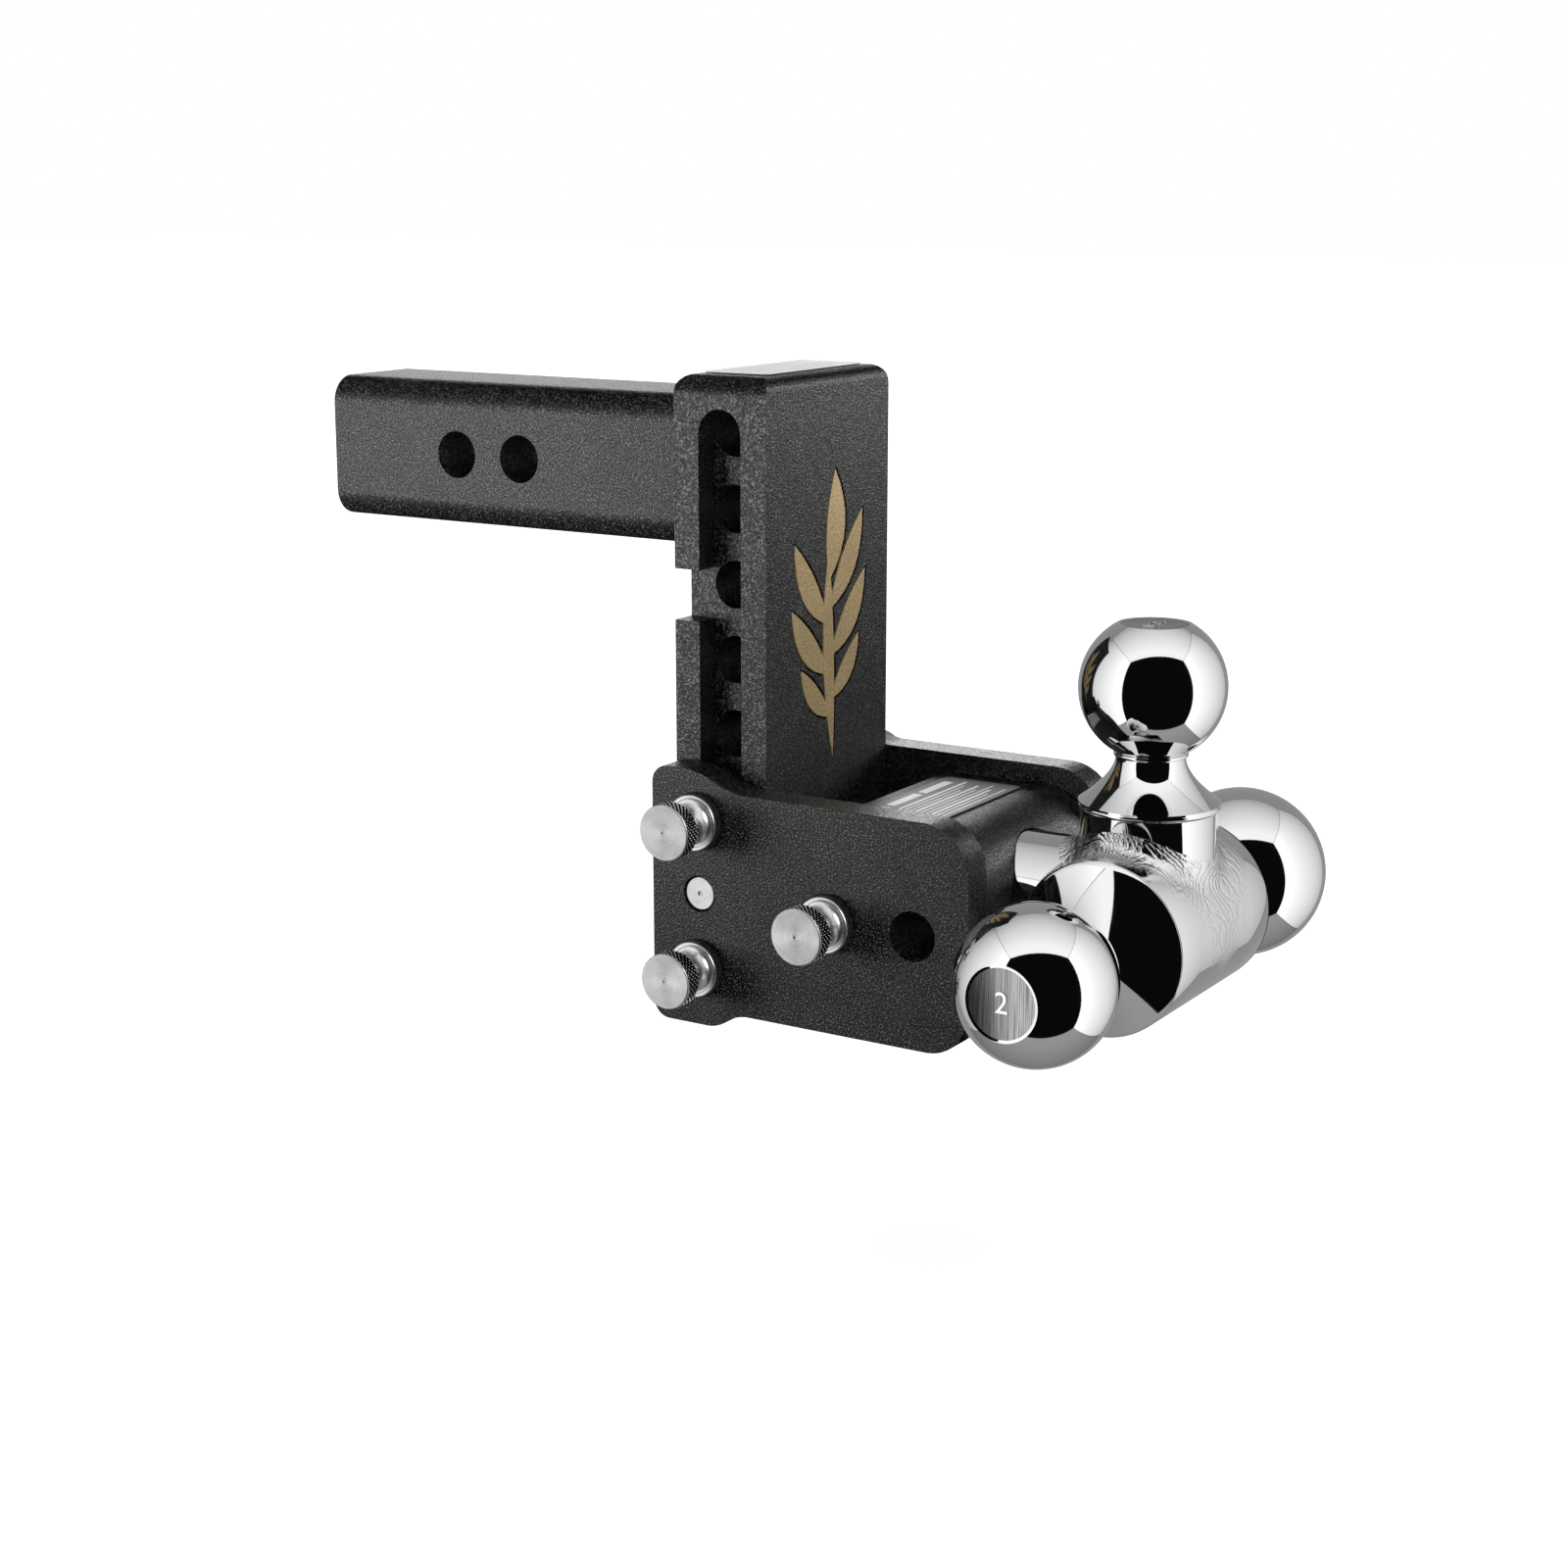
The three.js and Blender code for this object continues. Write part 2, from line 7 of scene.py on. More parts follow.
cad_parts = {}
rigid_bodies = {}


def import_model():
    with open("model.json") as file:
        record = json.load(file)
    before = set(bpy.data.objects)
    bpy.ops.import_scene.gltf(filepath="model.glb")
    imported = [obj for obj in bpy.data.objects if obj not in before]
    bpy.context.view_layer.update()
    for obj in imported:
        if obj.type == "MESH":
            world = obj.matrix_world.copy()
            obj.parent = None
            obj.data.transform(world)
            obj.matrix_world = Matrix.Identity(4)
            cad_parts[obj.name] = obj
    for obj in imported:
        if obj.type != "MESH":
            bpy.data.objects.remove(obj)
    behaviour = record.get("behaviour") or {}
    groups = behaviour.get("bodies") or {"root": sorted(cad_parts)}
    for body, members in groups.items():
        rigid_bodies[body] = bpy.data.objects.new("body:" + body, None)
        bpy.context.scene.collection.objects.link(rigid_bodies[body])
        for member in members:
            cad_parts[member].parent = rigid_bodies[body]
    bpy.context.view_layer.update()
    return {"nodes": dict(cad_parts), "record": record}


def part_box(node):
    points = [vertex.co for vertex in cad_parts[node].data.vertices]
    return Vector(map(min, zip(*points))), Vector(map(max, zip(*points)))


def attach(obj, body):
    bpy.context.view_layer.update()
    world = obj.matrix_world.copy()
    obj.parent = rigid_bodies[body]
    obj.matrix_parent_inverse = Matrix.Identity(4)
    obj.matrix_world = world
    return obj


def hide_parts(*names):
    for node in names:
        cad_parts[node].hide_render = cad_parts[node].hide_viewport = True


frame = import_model()
print("frame loaded:", len(frame["nodes"]), "nodes")

mm = 0.001  # pieces are drawn in millimetres and scaled once, when they are finished


def boxMm(node):
    low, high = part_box(node)
    return low / mm, high / mm


barrelLow, barrelHigh = boxMm("barrel")
mountCentre = (barrelLow + barrelHigh) / 2  # where the three ball axes cross
uprightLow, uprightHigh = boxMm("upright")
shankLow, shankHigh = boxMm("shank_bar")

def newMaterial(name, color, roughness, metallic=0.0):
    material = bpy.data.materials.new(name)
    material.use_nodes = True
    shader = material.node_tree.nodes["Principled BSDF"]
    shader.inputs["Base Color"].default_value = (*color, 1)
    shader.inputs["Roughness"].default_value = roughness
    shader.inputs["Metallic"].default_value = metallic
    return material, material.node_tree, shader


def addNode(tree, kind, **settings):
    node = tree.nodes.new(kind)
    for key, value in settings.items():
        if key in node.inputs:
            node.inputs[key].default_value = value
        else:
            setattr(node, key, value)
    return node


def objectCoords(tree, centre=None, stretch=(1, 1, 1)):
    coords = addNode(tree, "ShaderNodeTexCoord")
    if centre is None and stretch == (1, 1, 1):
        return coords.outputs["Object"]
    mapping = addNode(tree, "ShaderNodeMapping")
    mapping.inputs["Scale"].default_value = stretch
    if centre is not None:
        mapping.inputs["Location"].default_value = [-c * s for c, s in zip(centre, stretch)]
    tree.links.new(coords.outputs["Object"], mapping.inputs["Vector"])
    return mapping.outputs["Vector"]


def grain(tree, coords, scale, detail=2.0, rough=0.5):
    texture = addNode(tree, "ShaderNodeTexNoise", Scale=scale, Detail=detail, Roughness=rough)
    tree.links.new(coords, texture.inputs["Vector"])
    return texture.outputs["Fac"]


def ramp(tree, value, stops):
    node = addNode(tree, "ShaderNodeValToRGB")
    elements = node.color_ramp.elements
    while len(elements) < len(stops):
        elements.new(0.5)
    for element, (position, color) in zip(elements, stops):
        element.position = position
        element.color = (*color, 1)
    tree.links.new(value, node.inputs["Fac"])
    return node.outputs["Color"]


def remap(tree, value, low, high, outLow, outHigh):
    node = addNode(tree, "ShaderNodeMapRange")
    for index, number in enumerate((low, high, outLow, outHigh)):
        node.inputs[index + 1].default_value = number
    tree.links.new(value, node.inputs[0])
    return node.outputs[0]


def bump(tree, shader, height, strength, distance):
    node = addNode(tree, "ShaderNodeBump", Strength=strength, Distance=distance)
    tree.links.new(height, node.inputs["Height"])
    tree.links.new(node.outputs["Normal"], shader.inputs["Normal"])
    return node


def grey(level):
    return (level, level, level)


def multiply(tree, first, second, factor=1):
    # the first colour, or colour output, darkened by the second
    node = addNode(tree, "ShaderNodeMix", data_type="RGBA", blend_type="MULTIPLY")
    node.inputs["Factor"].default_value = factor
    if isinstance(first, tuple):
        node.inputs["A"].default_value = (*first, 1)
    else:
        tree.links.new(first, node.inputs["A"])
    tree.links.new(second, node.inputs["B"])
    return node.outputs["Result"]


tints = {
    "chrome": (0.62, 0.625, 0.63),
    "spunFace": (0.45, 0.455, 0.46),
    "steel": (0.5, 0.5, 0.51),
    "gold": (0.42, 0.3, 0.13),
}
coatLook = {
    "grain": 1650,  # grain per metre
    "cloud": 90,  # broad, faint patches
    "valley": 0.001,
    "slope": 0.006,
    "fleck": 0.08,  # brightness of the grain's tops
    "roughValley": 0.55,
    "roughTop": 0.33,
    "bump": 0.0002,
}


def coatMaterial():
    # black powder coat: a fine grain that catches the light on its tops
    look = coatLook
    material, tree, shader = newMaterial("powderCoat", grey(0.01), 0.4)
    coords = objectCoords(tree)
    pebble = grain(tree, coords, look["grain"], 1, 0.6)
    cloud = grain(tree, coords, look["cloud"], 3)
    stops = [(0.42, grey(look["valley"])), (0.55, grey(look["slope"])), (0.68, grey(look["fleck"]))]
    patches = ramp(tree, cloud, [(0.3, grey(0.8)), (0.7, grey(1.2))])
    tree.links.new(multiply(tree, ramp(tree, pebble, stops), patches), shader.inputs["Base Color"])
    rough = remap(tree, pebble, 0.35, 0.65, look["roughValley"], look["roughTop"])
    tree.links.new(rough, shader.inputs["Roughness"])
    bump(tree, shader, pebble, 1, look["bump"])
    return material


def chromeMaterial():
    # mirror chrome with a trace of handling smears and a faint wave
    material, tree, shader = newMaterial("chrome", tints["chrome"], 0.03, 1)
    coords = objectCoords(tree)
    smear = grain(tree, coords, 60, 4, 0.6)
    tree.links.new(remap(tree, smear, 0.35, 0.75, 0.02, 0.07), shader.inputs["Roughness"])
    bump(tree, shader, grain(tree, coords, 35, 1), 0.05, 0.0008)
    return material


groundLook = {
    "wander": 45,
    "push": 0.03,  # how far the swirls stray from round, in metres
    "rings": 190,
    "weldBump": 0.00035,
    "barrelBump": 0.00025,
    "patchStart": 0.031,  # the swirls fade out between these distances from the foot
    "patchEnd": 0.036,
}


def groundNodes(tree, centre):
    # overlapping swirls left by a flap wheel round a point of the mount
    coords = objectCoords(tree, centre)
    wander = addNode(tree, "ShaderNodeTexNoise", Scale=groundLook["wander"], Detail=1)
    tree.links.new(coords, wander.inputs["Vector"])
    push = addNode(tree, "ShaderNodeVectorMath", operation="MULTIPLY_ADD")
    tree.links.new(wander.outputs["Color"], push.inputs[0])
    push.inputs[1].default_value = grey(groundLook["push"])
    tree.links.new(coords, push.inputs[2])
    rings = addNode(tree, "ShaderNodeTexWave", wave_type="RINGS", rings_direction="SPHERICAL",
                    Scale=groundLook["rings"], Distortion=5, Detail=4)
    rings.inputs["Detail Scale"].default_value = 3
    tree.links.new(push.outputs[0], rings.inputs["Vector"])
    return rings.outputs["Fac"]


def weldChromeMaterial(name, centre):
    material, tree, shader = newMaterial(name, tints["chrome"], 0.14, 1)
    swirl = groundNodes(tree, centre)
    tree.links.new(remap(tree, swirl, 0, 1, 0.05, 0.2), shader.inputs["Roughness"])
    bump(tree, shader, swirl, 0.6, groundLook["weldBump"])
    return material


def barrelMaterial(centre):
    # mirror chrome that turns to swirled, ground chrome round the foot of the top ball
    material, tree, shader = newMaterial("barrelChrome", tints["chrome"], 0.04, 1)
    coords = objectCoords(tree, centre, (1, 1, 0.6))
    length = addNode(tree, "ShaderNodeVectorMath", operation="LENGTH")
    tree.links.new(coords, length.inputs[0])
    near = remap(tree, length.outputs["Value"], groundLook["patchStart"], groundLook["patchEnd"], 1, 0)
    swirl = groundNodes(tree, centre)
    rough = addNode(tree, "ShaderNodeMath", operation="MULTIPLY")
    tree.links.new(near, rough.inputs[0])
    tree.links.new(swirl, rough.inputs[1])
    tree.links.new(remap(tree, rough.outputs[0], 0, 1, 0.03, 0.2), shader.inputs["Roughness"])
    bump(tree, shader, rough.outputs[0], 0.4, groundLook["barrelBump"])
    return material


def turnedMaterial(name, color, roughness, ringScale, ringDepth):
    # lathe marks follow the outline of a turned piece, through its "along" attribute
    material, tree, shader = newMaterial(name, color, roughness, 1)
    along = addNode(tree, "ShaderNodeAttribute", attribute_name="along")
    rings = addNode(tree, "ShaderNodeTexNoise", noise_dimensions="1D", Scale=ringScale, Detail=3)
    tree.links.new(along.outputs["Fac"], rings.inputs["W"])
    cloudy = grain(tree, objectCoords(tree), 220, 3)
    patches = ramp(tree, cloudy, [(0.3, grey(0.82)), (0.7, grey(1.0))])
    tree.links.new(multiply(tree, color, patches), shader.inputs["Base Color"])
    tree.links.new(remap(tree, rings.outputs["Fac"], 0.3, 0.7, roughness * 0.8, roughness * 1.3),
                   shader.inputs["Roughness"])
    bump(tree, shader, rings.outputs["Fac"], 0.6, ringDepth)
    return material, tree, shader


def spunFaceMaterial():
    # the knobs' end faces: spun in rings, so a light spreads across them as a fan
    material, tree, shader = turnedMaterial("spunFace", tints["spunFace"], 0.32, 2600, 0.00002)
    shader.inputs["Anisotropic"].default_value = 0.75
    rings = addNode(tree, "ShaderNodeTangent", direction_type="RADIAL", axis="Y")
    tree.links.new(rings.outputs["Tangent"], shader.inputs["Tangent"])
    return material


def knurlMaterial():
    # painted shade: the knurl's valleys are coloured near black, lightening to the points, from the "along"
    # attribute, which runs from 0 there to 1 on the points
    material, tree, shader = newMaterial("knurledAluminium", grey(0.7), 0.22, 1)
    depth = addNode(tree, "ShaderNodeAttribute", attribute_name="along")
    shade = ramp(tree, depth.outputs["Fac"], [(0.5, grey(0.004)), (0.72, grey(0.3)), (0.95, grey(0.95))])
    tree.links.new(shade, shader.inputs["Base Color"])
    bump(tree, shader, grain(tree, objectCoords(tree), 1800, 2), 0.2, 0.0001)
    return material


def goldMaterial():
    # gold paint laid in the engraving, with metal flake
    material, tree, shader = newMaterial("goldFill", tints["gold"], 0.42, 0.55)
    coords = objectCoords(tree)
    speck = grain(tree, coords, 1300, 2, 0.6)
    broad = grain(tree, coords, 45, 2)
    stops = [(0.3, (0.33, 0.23, 0.1)), (0.55, (0.52, 0.39, 0.2)), (0.72, (0.7, 0.55, 0.32))]
    patches = ramp(tree, broad, [(0.3, grey(0.75)), (0.7, grey(1.1))])
    tree.links.new(multiply(tree, ramp(tree, speck, stops), patches, 0.5), shader.inputs["Base Color"])
    bump(tree, shader, speck, 0.35, 0.00012)
    return material


def foilMaterial(name, level, roughness):
    # label foil with a faint brushed grain across the label
    material, tree, shader = newMaterial(name, grey(level), roughness, 0.35)
    brushed = grain(tree, objectCoords(tree, None, (1, 0.03, 1)), 2600, 2)
    tree.links.new(ramp(tree, brushed, [(0.3, grey(level * 0.86)), (0.7, grey(min(1, level * 1.1)))]),
                   shader.inputs["Base Color"])
    bump(tree, shader, brushed, 0.1, 0.00005)
    return material


def rubberMaterial():
    # matt black rubber with a little dust
    material, tree, shader = newMaterial("ringRubber", grey(0.012), 0.62)
    dust = grain(tree, objectCoords(tree), 900, 3)
    tree.links.new(ramp(tree, dust, [(0.35, grey(0.006)), (0.7, grey(0.022))]), shader.inputs["Base Color"])
    bump(tree, shader, dust, 0.25, 0.0001)
    return material


def sawnMaterial():
    # the balls' flat ends keep the straight marks of a facing cut
    material, tree, shader = newMaterial("ballFlat", grey(0.62), 0.3, 1)
    coords = addNode(tree, "ShaderNodeTexCoord")
    turn = addNode(tree, "ShaderNodeMapping")
    turn.inputs["Rotation"].default_value = (0.6, 0.6, 0.6)
    turn.inputs["Scale"].default_value = (1, 0.02, 0.02)
    tree.links.new(coords.outputs["Object"], turn.inputs["Vector"])
    streak = grain(tree, turn.outputs["Vector"], 2400, 3)
    tree.links.new(ramp(tree, streak, [(0.3, grey(0.12)), (0.7, grey(0.5))]), shader.inputs["Base Color"])
    bump(tree, shader, streak, 0.3, 0.00006)
    return material


coat = coatMaterial()
chrome = chromeMaterial()
collarFoot = [mountCentre.x * mm, mountCentre.y * mm, (mountCentre.z + 26) * mm]
shaftFoot = [(mountCentre.x - 24) * mm, mountCentre.y * mm, mountCentre.z * mm]
barrelChrome = barrelMaterial(collarFoot)
collarChrome = weldChromeMaterial("collarWeldChrome", collarFoot)
shaftChrome = weldChromeMaterial("shaftWeldChrome", shaftFoot)
spun = turnedMaterial("spunAluminium", tints["chrome"], 0.3, 1500, 0.00001)[0]
pinSteel = turnedMaterial("turnedSteel", tints["steel"], 0.26, 1500, 0.00002)[0]
spunFace = spunFaceMaterial()
knurled = knurlMaterial()
gold = goldMaterial()
foil = foilMaterial("labelFoil", 0.12, 0.5)
whiteFoil = foilMaterial("labelFoilLight", 0.6, 0.45)
ink = foilMaterial("labelBars", 0.7, 0.5)
greyInk = foilMaterial("labelBarsGrey", 0.5, 0.5)
rubber = rubberMaterial()
ballFlat = sawnMaterial()
print("materials made:", len(bpy.data.materials))

def finishPiece(name, bm, materials, body, nodes, creaseDegrees=32, weighted=False):
    # scale to metres, shade, hang the piece on the body it rides on, and hide the frame nodes it stands for
    bmesh.ops.scale(bm, vec=(mm, mm, mm), verts=bm.verts)
    mesh = bpy.data.meshes.new(name)
    bm.to_mesh(mesh)
    bm.free()
    for material in materials:
        mesh.materials.append(material)
    mesh.shade_smooth()
    mesh.set_sharp_from_angle(angle=math.radians(creaseDegrees))
    piece = bpy.data.objects.new(name, mesh)
    bpy.context.scene.collection.objects.link(piece)
    if weighted:
        modifier = piece.modifiers.new("faceNormals", "WEIGHTED_NORMAL")
        modifier.keep_sharp = True
    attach(piece, body)
    if nodes:
        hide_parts(*nodes)
    return piece


def bevelEdges(bm, width, segments, degrees, keep=lambda edge: True):
    # round the edges sharper than an angle, then close the slivers that short edges leave
    limit = math.radians(degrees)
    paired = [edge for edge in bm.edges if len(edge.link_faces) == 2]
    sharp = [edge for edge in paired if edge.calc_face_angle(0) > limit and keep(edge)]
    bmesh.ops.bevel(bm, geom=sharp, offset=width, offset_type="OFFSET", segments=segments, profile=0.5,
                    affect="EDGES", clamp_overlap=True, material=-1)
    bmesh.ops.dissolve_degenerate(bm, dist=0.0005, edges=bm.edges)


def nodeMesh(node):
    # a merged copy of a frame node's mesh, in millimetres
    bm = bmesh.new()
    bm.from_mesh(frame["nodes"][node].data)
    bmesh.ops.scale(bm, vec=(1 / mm, 1 / mm, 1 / mm), verts=bm.verts)
    bmesh.ops.remove_doubles(bm, verts=bm.verts, dist=0.002)
    bmesh.ops.dissolve_limit(bm, angle_limit=math.radians(0.6), verts=bm.verts, edges=bm.edges)
    return bm


def arc(centreR, centreH, radius, fromDegrees, toDegrees, steps):
    # points of an outline on an arc, as (radius, height)
    points = []
    for step in range(steps + 1):
        angle = math.radians(fromDegrees + (toDegrees - fromDegrees) * step / steps)
        points.append((centreR + radius * math.cos(angle), centreH + radius * math.sin(angle)))
    return points


def spinProfile(profile, steps):
    # (radius, height) points turned about +Z; "along" records the distance along the outline
    bm = bmesh.new()
    along = bm.verts.layers.float.new("along")
    travelled, last, chain = 0.0, None, []
    for radius, height in profile:
        if last is not None:
            travelled += math.dist(last, (radius, height))
        vert = bm.verts.new((radius, 0, height))
        vert[along] = travelled * mm
        chain.append(vert)
        last = (radius, height)
    edges = [bm.edges.new(pair) for pair in zip(chain, chain[1:])]
    bmesh.ops.spin(bm, geom=chain + edges, cent=(0, 0, 0), axis=(0, 0, 1), angle=math.tau, steps=steps,
                   use_merge=True)
    bmesh.ops.remove_doubles(bm, verts=bm.verts, dist=0.0005)
    bmesh.ops.recalc_face_normals(bm, faces=bm.faces)
    return bm


def standAlong(bm, spot, direction):
    # stand a piece that was made about +Z along another direction, from a spot
    turn = Vector((0, 0, 1)).rotation_difference(Vector(direction)).to_matrix()
    bmesh.ops.rotate(bm, cent=(0, 0, 0), matrix=turn, verts=bm.verts)
    bmesh.ops.translate(bm, vec=Vector(spot), verts=bm.verts)
    return bm


def standInNode(bm, node, side):
    # stand a turned piece in a node's place, along +Y (side 1) or -Y (side -1)
    low, high = boxMm(node)
    centre = (low + high) / 2
    start = low.y if side > 0 else high.y
    return standAlong(bm, (centre.x, start, centre.z), (0, side, 0))


def sweepSections(sections, closed=True):
    # joins equal rings of points into one skin, by extruding the first ring step by step
    bm = bmesh.new()
    ring = [bm.verts.new(point) for point in sections[0]]
    edges = [bm.edges.new((ring[i - 1], ring[i])) for i in range(len(ring))]
    for points in sections[1:]:
        made = bmesh.ops.extrude_edge_only(bm, edges=edges)["geom"]
        newVerts = {item for item in made if isinstance(item, bmesh.types.BMVert)}
        twins = []
        for vert in ring:
            beside = [edge.other_vert(vert) for edge in vert.link_edges]
            twins.append(next(other for other in beside if other in newVerts))
        for vert, point in zip(twins, points):
            vert.co = point
        ring = twins
        edges = [item for item in made if isinstance(item, bmesh.types.BMEdge)]
        edges = [edge for edge in edges if edge.verts[0] in newVerts and edge.verts[1] in newVerts]
    if closed:
        bmesh.ops.remove_doubles(bm, verts=bm.verts, dist=0.001)
    else:
        bmesh.ops.holes_fill(bm, edges=bm.edges, sides=0)
    bmesh.ops.recalc_face_normals(bm, faces=bm.faces)
    return bm


steelwork = {
    "bevel": 0.8,  # rounding of the cut edges
    "shankBevel": 1.0,
    "blockBevel": 0.7,
    "segments": 3,
    "corner": 25,  # edges sharper than this are rounded
}
engraving = {"bevel": 0.22, "inlayBevel": 0.25, "segments": 2, "corner": 40}


def coatedPiece(node, name, body, bevel):
    bm = nodeMesh(node)
    bevelEdges(bm, bevel, steelwork["segments"], steelwork["corner"])
    return finishPiece(name, bm, [coat], body, [node], weighted=True)


def inEmblem(edge):
    # the engraved recess is on the upright's rear face
    rear = uprightHigh.x
    return all(v.co.x > rear - 2 and abs(v.co.y) < 30 and v.co.z < uprightHigh.z - 20 for v in edge.verts)


def outsideEmblem(edge):
    return not inEmblem(edge)


def uprightPiece():
    bm = nodeMesh("upright")
    bevelEdges(bm, steelwork["bevel"], steelwork["segments"], steelwork["corner"], outsideEmblem)
    bevelEdges(bm, engraving["bevel"], engraving["segments"], engraving["corner"], inEmblem)
    return finishPiece("uprightBlock", bm, [coat], "stem", ["upright"], weighted=True)


coatedPiece("shank_bar", "shankBar", "stem", steelwork["shankBevel"])
uprightPiece()
coatedPiece("side_plate_near", "sidePlateNear", "housing", steelwork["bevel"])
coatedPiece("side_plate_far", "sidePlateFar", "housing", steelwork["bevel"])
coatedPiece("socket_block", "socketBlock", "housing", steelwork["blockBevel"])
print("steelwork made")

shankBead = {
    "leg": 5.8,
    "faceTrim": 0.4,  # the leg on the upright's face is shorter by this
    "wander": 0.5,
    "pitch": 2.6,  # distance between ripples
    "ripple": 0.35,
    "corner": 9.5,
    "bulge": 1.25,
    "rows": 6,
    "steps": 420,
}
blockBead = {"leg": 3.5, "highest": 3.58, "bulge": 0.55, "rows": 6, "steps": 60}


def bezier(a, b, c, t):
    # a point on the curve from a to c that leans towards b
    return a * (1 - t) ** 2 + b * 2 * t * (1 - t) + c * t * t


def filletSection(onFirst, corner, onSecond, bulge, steps, sink):
    # from one surface to the other; bulge 0 follows the corner, 1 is a straight line
    middle = corner.lerp((onFirst + onSecond) / 2, bulge)
    points = [bezier(onFirst, middle, onSecond, step / steps) for step in range(steps + 1)]
    inward = (corner - (onFirst + onSecond) / 2).normalized() * sink
    return points + [onSecond + inward, corner + inward, onFirst + inward]


def squarePath(half, corner, turn):
    # point and outward direction at a turn (0 to 1) round a rounded square, in (y, z)
    flat = 2 * (half - corner)
    bend = math.pi / 2 * corner
    side = flat + bend
    travelled = (turn % 1) * 4 * side
    quarter, rest = int(travelled // side), travelled % side
    if rest < flat:
        point, out = Vector((half, -flat / 2 + rest)), Vector((1, 0))
    else:
        angle = (rest - flat) / corner
        out = Vector((math.cos(angle), math.sin(angle)))
        point = Vector((flat / 2, flat / 2)) + out * corner
    spin = Matrix.Rotation(quarter * math.pi / 2, 2)
    return spin @ point, spin @ out


def shankWeld():
    half = (shankHigh.z - shankLow.z) / 2
    face = uprightLow.x
    rows = shankBead["rows"]
    ripples = round(8 * half / shankBead["pitch"])
    sections = []
    for step in range(shankBead["steps"] + 1):
        turn = step / shankBead["steps"]
        point, out = squarePath(half, shankBead["corner"], turn)
        ripple = shankBead["ripple"] * abs(math.sin(math.pi * turn * ripples))
        around = Vector((math.cos(math.tau * turn), math.sin(math.tau * turn), 0))
        leg = shankBead["leg"] + shankBead["wander"] * noise.noise(around * 4)
        corner = Vector((face, point.x, point.y))
        onShank = Vector((face - leg, point.x, point.y))
        onFace = Vector((face, *(point + out * (leg - shankBead["faceTrim"]))))
        section = filletSection(onShank, corner, onFace, shankBead["bulge"], rows, 0.4)
        swell = Vector((-1, out.x, out.y)).normalized() * ripple
        for row in range(rows + 1):
            section[row] += swell * math.sin(math.pi * row / rows)
        sections.append(section)
    bm = sweepSections(sections)
    return finishPiece("shankWeld", bm, [coat], "stem", ["shank_weld"], 60)


def blockWeld(node, name):
    # a small concave fillet with faint ripples, closed at both ends
    low, high = boxMm(node)
    side = 1 if low.y > 0 else -1
    up = 1 if low.z > mountCentre.z else -1
    wall = high.y if side > 0 else low.y
    surface = low.z if up > 0 else high.z
    count, rows = blockBead["steps"], blockBead["rows"]
    sections = []
    for step in range(count + 1):
        x = low.x + (high.x - low.x) * step / count
        ends = min(1, math.sin(math.pi * step / count) * 3 + 0.15)
        ripple = 1 + 0.06 * math.sin(x * 2.1) + 0.05 * math.sin(x * 0.77)
        leg = blockBead["leg"] * ends * ripple
        corner = Vector((x, wall, surface))
        onBlock = Vector((x, wall - side * leg, surface))
        onPlate = Vector((x, wall, surface + up * min(leg, blockBead["highest"])))
        section = filletSection(onBlock, corner, onPlate, blockBead["bulge"], rows, 0)
        sections.append(section[:rows + 1] + [corner])
    bm = sweepSections(sections, closed=False)
    return finishPiece(name, bm, [coat], "housing", [node], 50)


shankWeld()
for level in ("top", "bottom"):
    for plate in ("near", "far"):
        blockWeld(f"block_weld_{level}_{plate}", f"blockWeld{level.title()}{plate.title()}")
print("welds made")

label = {"cornerR": 1.6, "cornerSteps": 5, "barHeight": 0.05, "barLift": 0.01}


def emblemPiece():
    bm = nodeMesh("emblem_inlay")
    bevelEdges(bm, engraving["inlayBevel"], engraving["segments"], engraving["corner"])
    return finishPiece("emblemInlay", bm, [gold], "stem", ["emblem_inlay"], weighted=True)


def labelPiece(node, name, body, material):
    # the label's foil, with its four corners rounded
    bm = nodeMesh(node)
    corners = [e for e in bm.edges if abs((e.verts[0].co - e.verts[1].co).z) > 0.1]
    bmesh.ops.bevel(bm, geom=corners, offset=label["cornerR"], offset_type="OFFSET",
                    segments=label["cornerSteps"], profile=0.5, affect="EDGES", clamp_overlap=True,
                    material=-1)
    return finishPiece(name, bm, [material], body, [node])


def labelBars(node, name, body, material, rows):
    # plain bars in place of words, as (x share, y share from, y share to, thickness)
    low, high = boxMm(node)
    wide, long = high.x - low.x, high.y - low.y
    bm = bmesh.new()
    for across, start, end, thick in rows:
        size = (thick, long * (end - start), label["barHeight"])
        centre = (low.x + wide * across, low.y + long * (start + end) / 2, high.z + label["barLift"])
        made = bmesh.ops.create_cube(bm, size=1)["verts"]
        bmesh.ops.scale(bm, vec=size, verts=made)
        bmesh.ops.translate(bm, vec=centre, verts=made)
    return finishPiece(name, bm, [material], body, ())


emblemPiece()
labelPiece("data_label", "dataLabel", "housing", foil)
labelPiece("top_label", "topLabel", "stem", whiteFoil)
dataRows = [(0.16, 0.12, 0.16, 3.4), (0.16, 0.2, 0.52, 3.4), (0.16, 0.56, 0.88, 3.4)]
for line in range(9):
    end = 0.93 - 0.05 * (line * 7 % 5)
    dataRows.append((0.34 + line * 0.072, 0.06, end, 0.55 if line % 3 else 1.0))
labelBars("data_label", "dataLabelBars", "housing", ink, dataRows)
topRows = [(0.2 + line * 0.13, 0.08, 0.9 - 0.06 * (line * 3 % 4), 0.8) for line in range(6)]
labelBars("top_label", "topLabelBars", "stem", greyInk, topRows)
print("labels made")

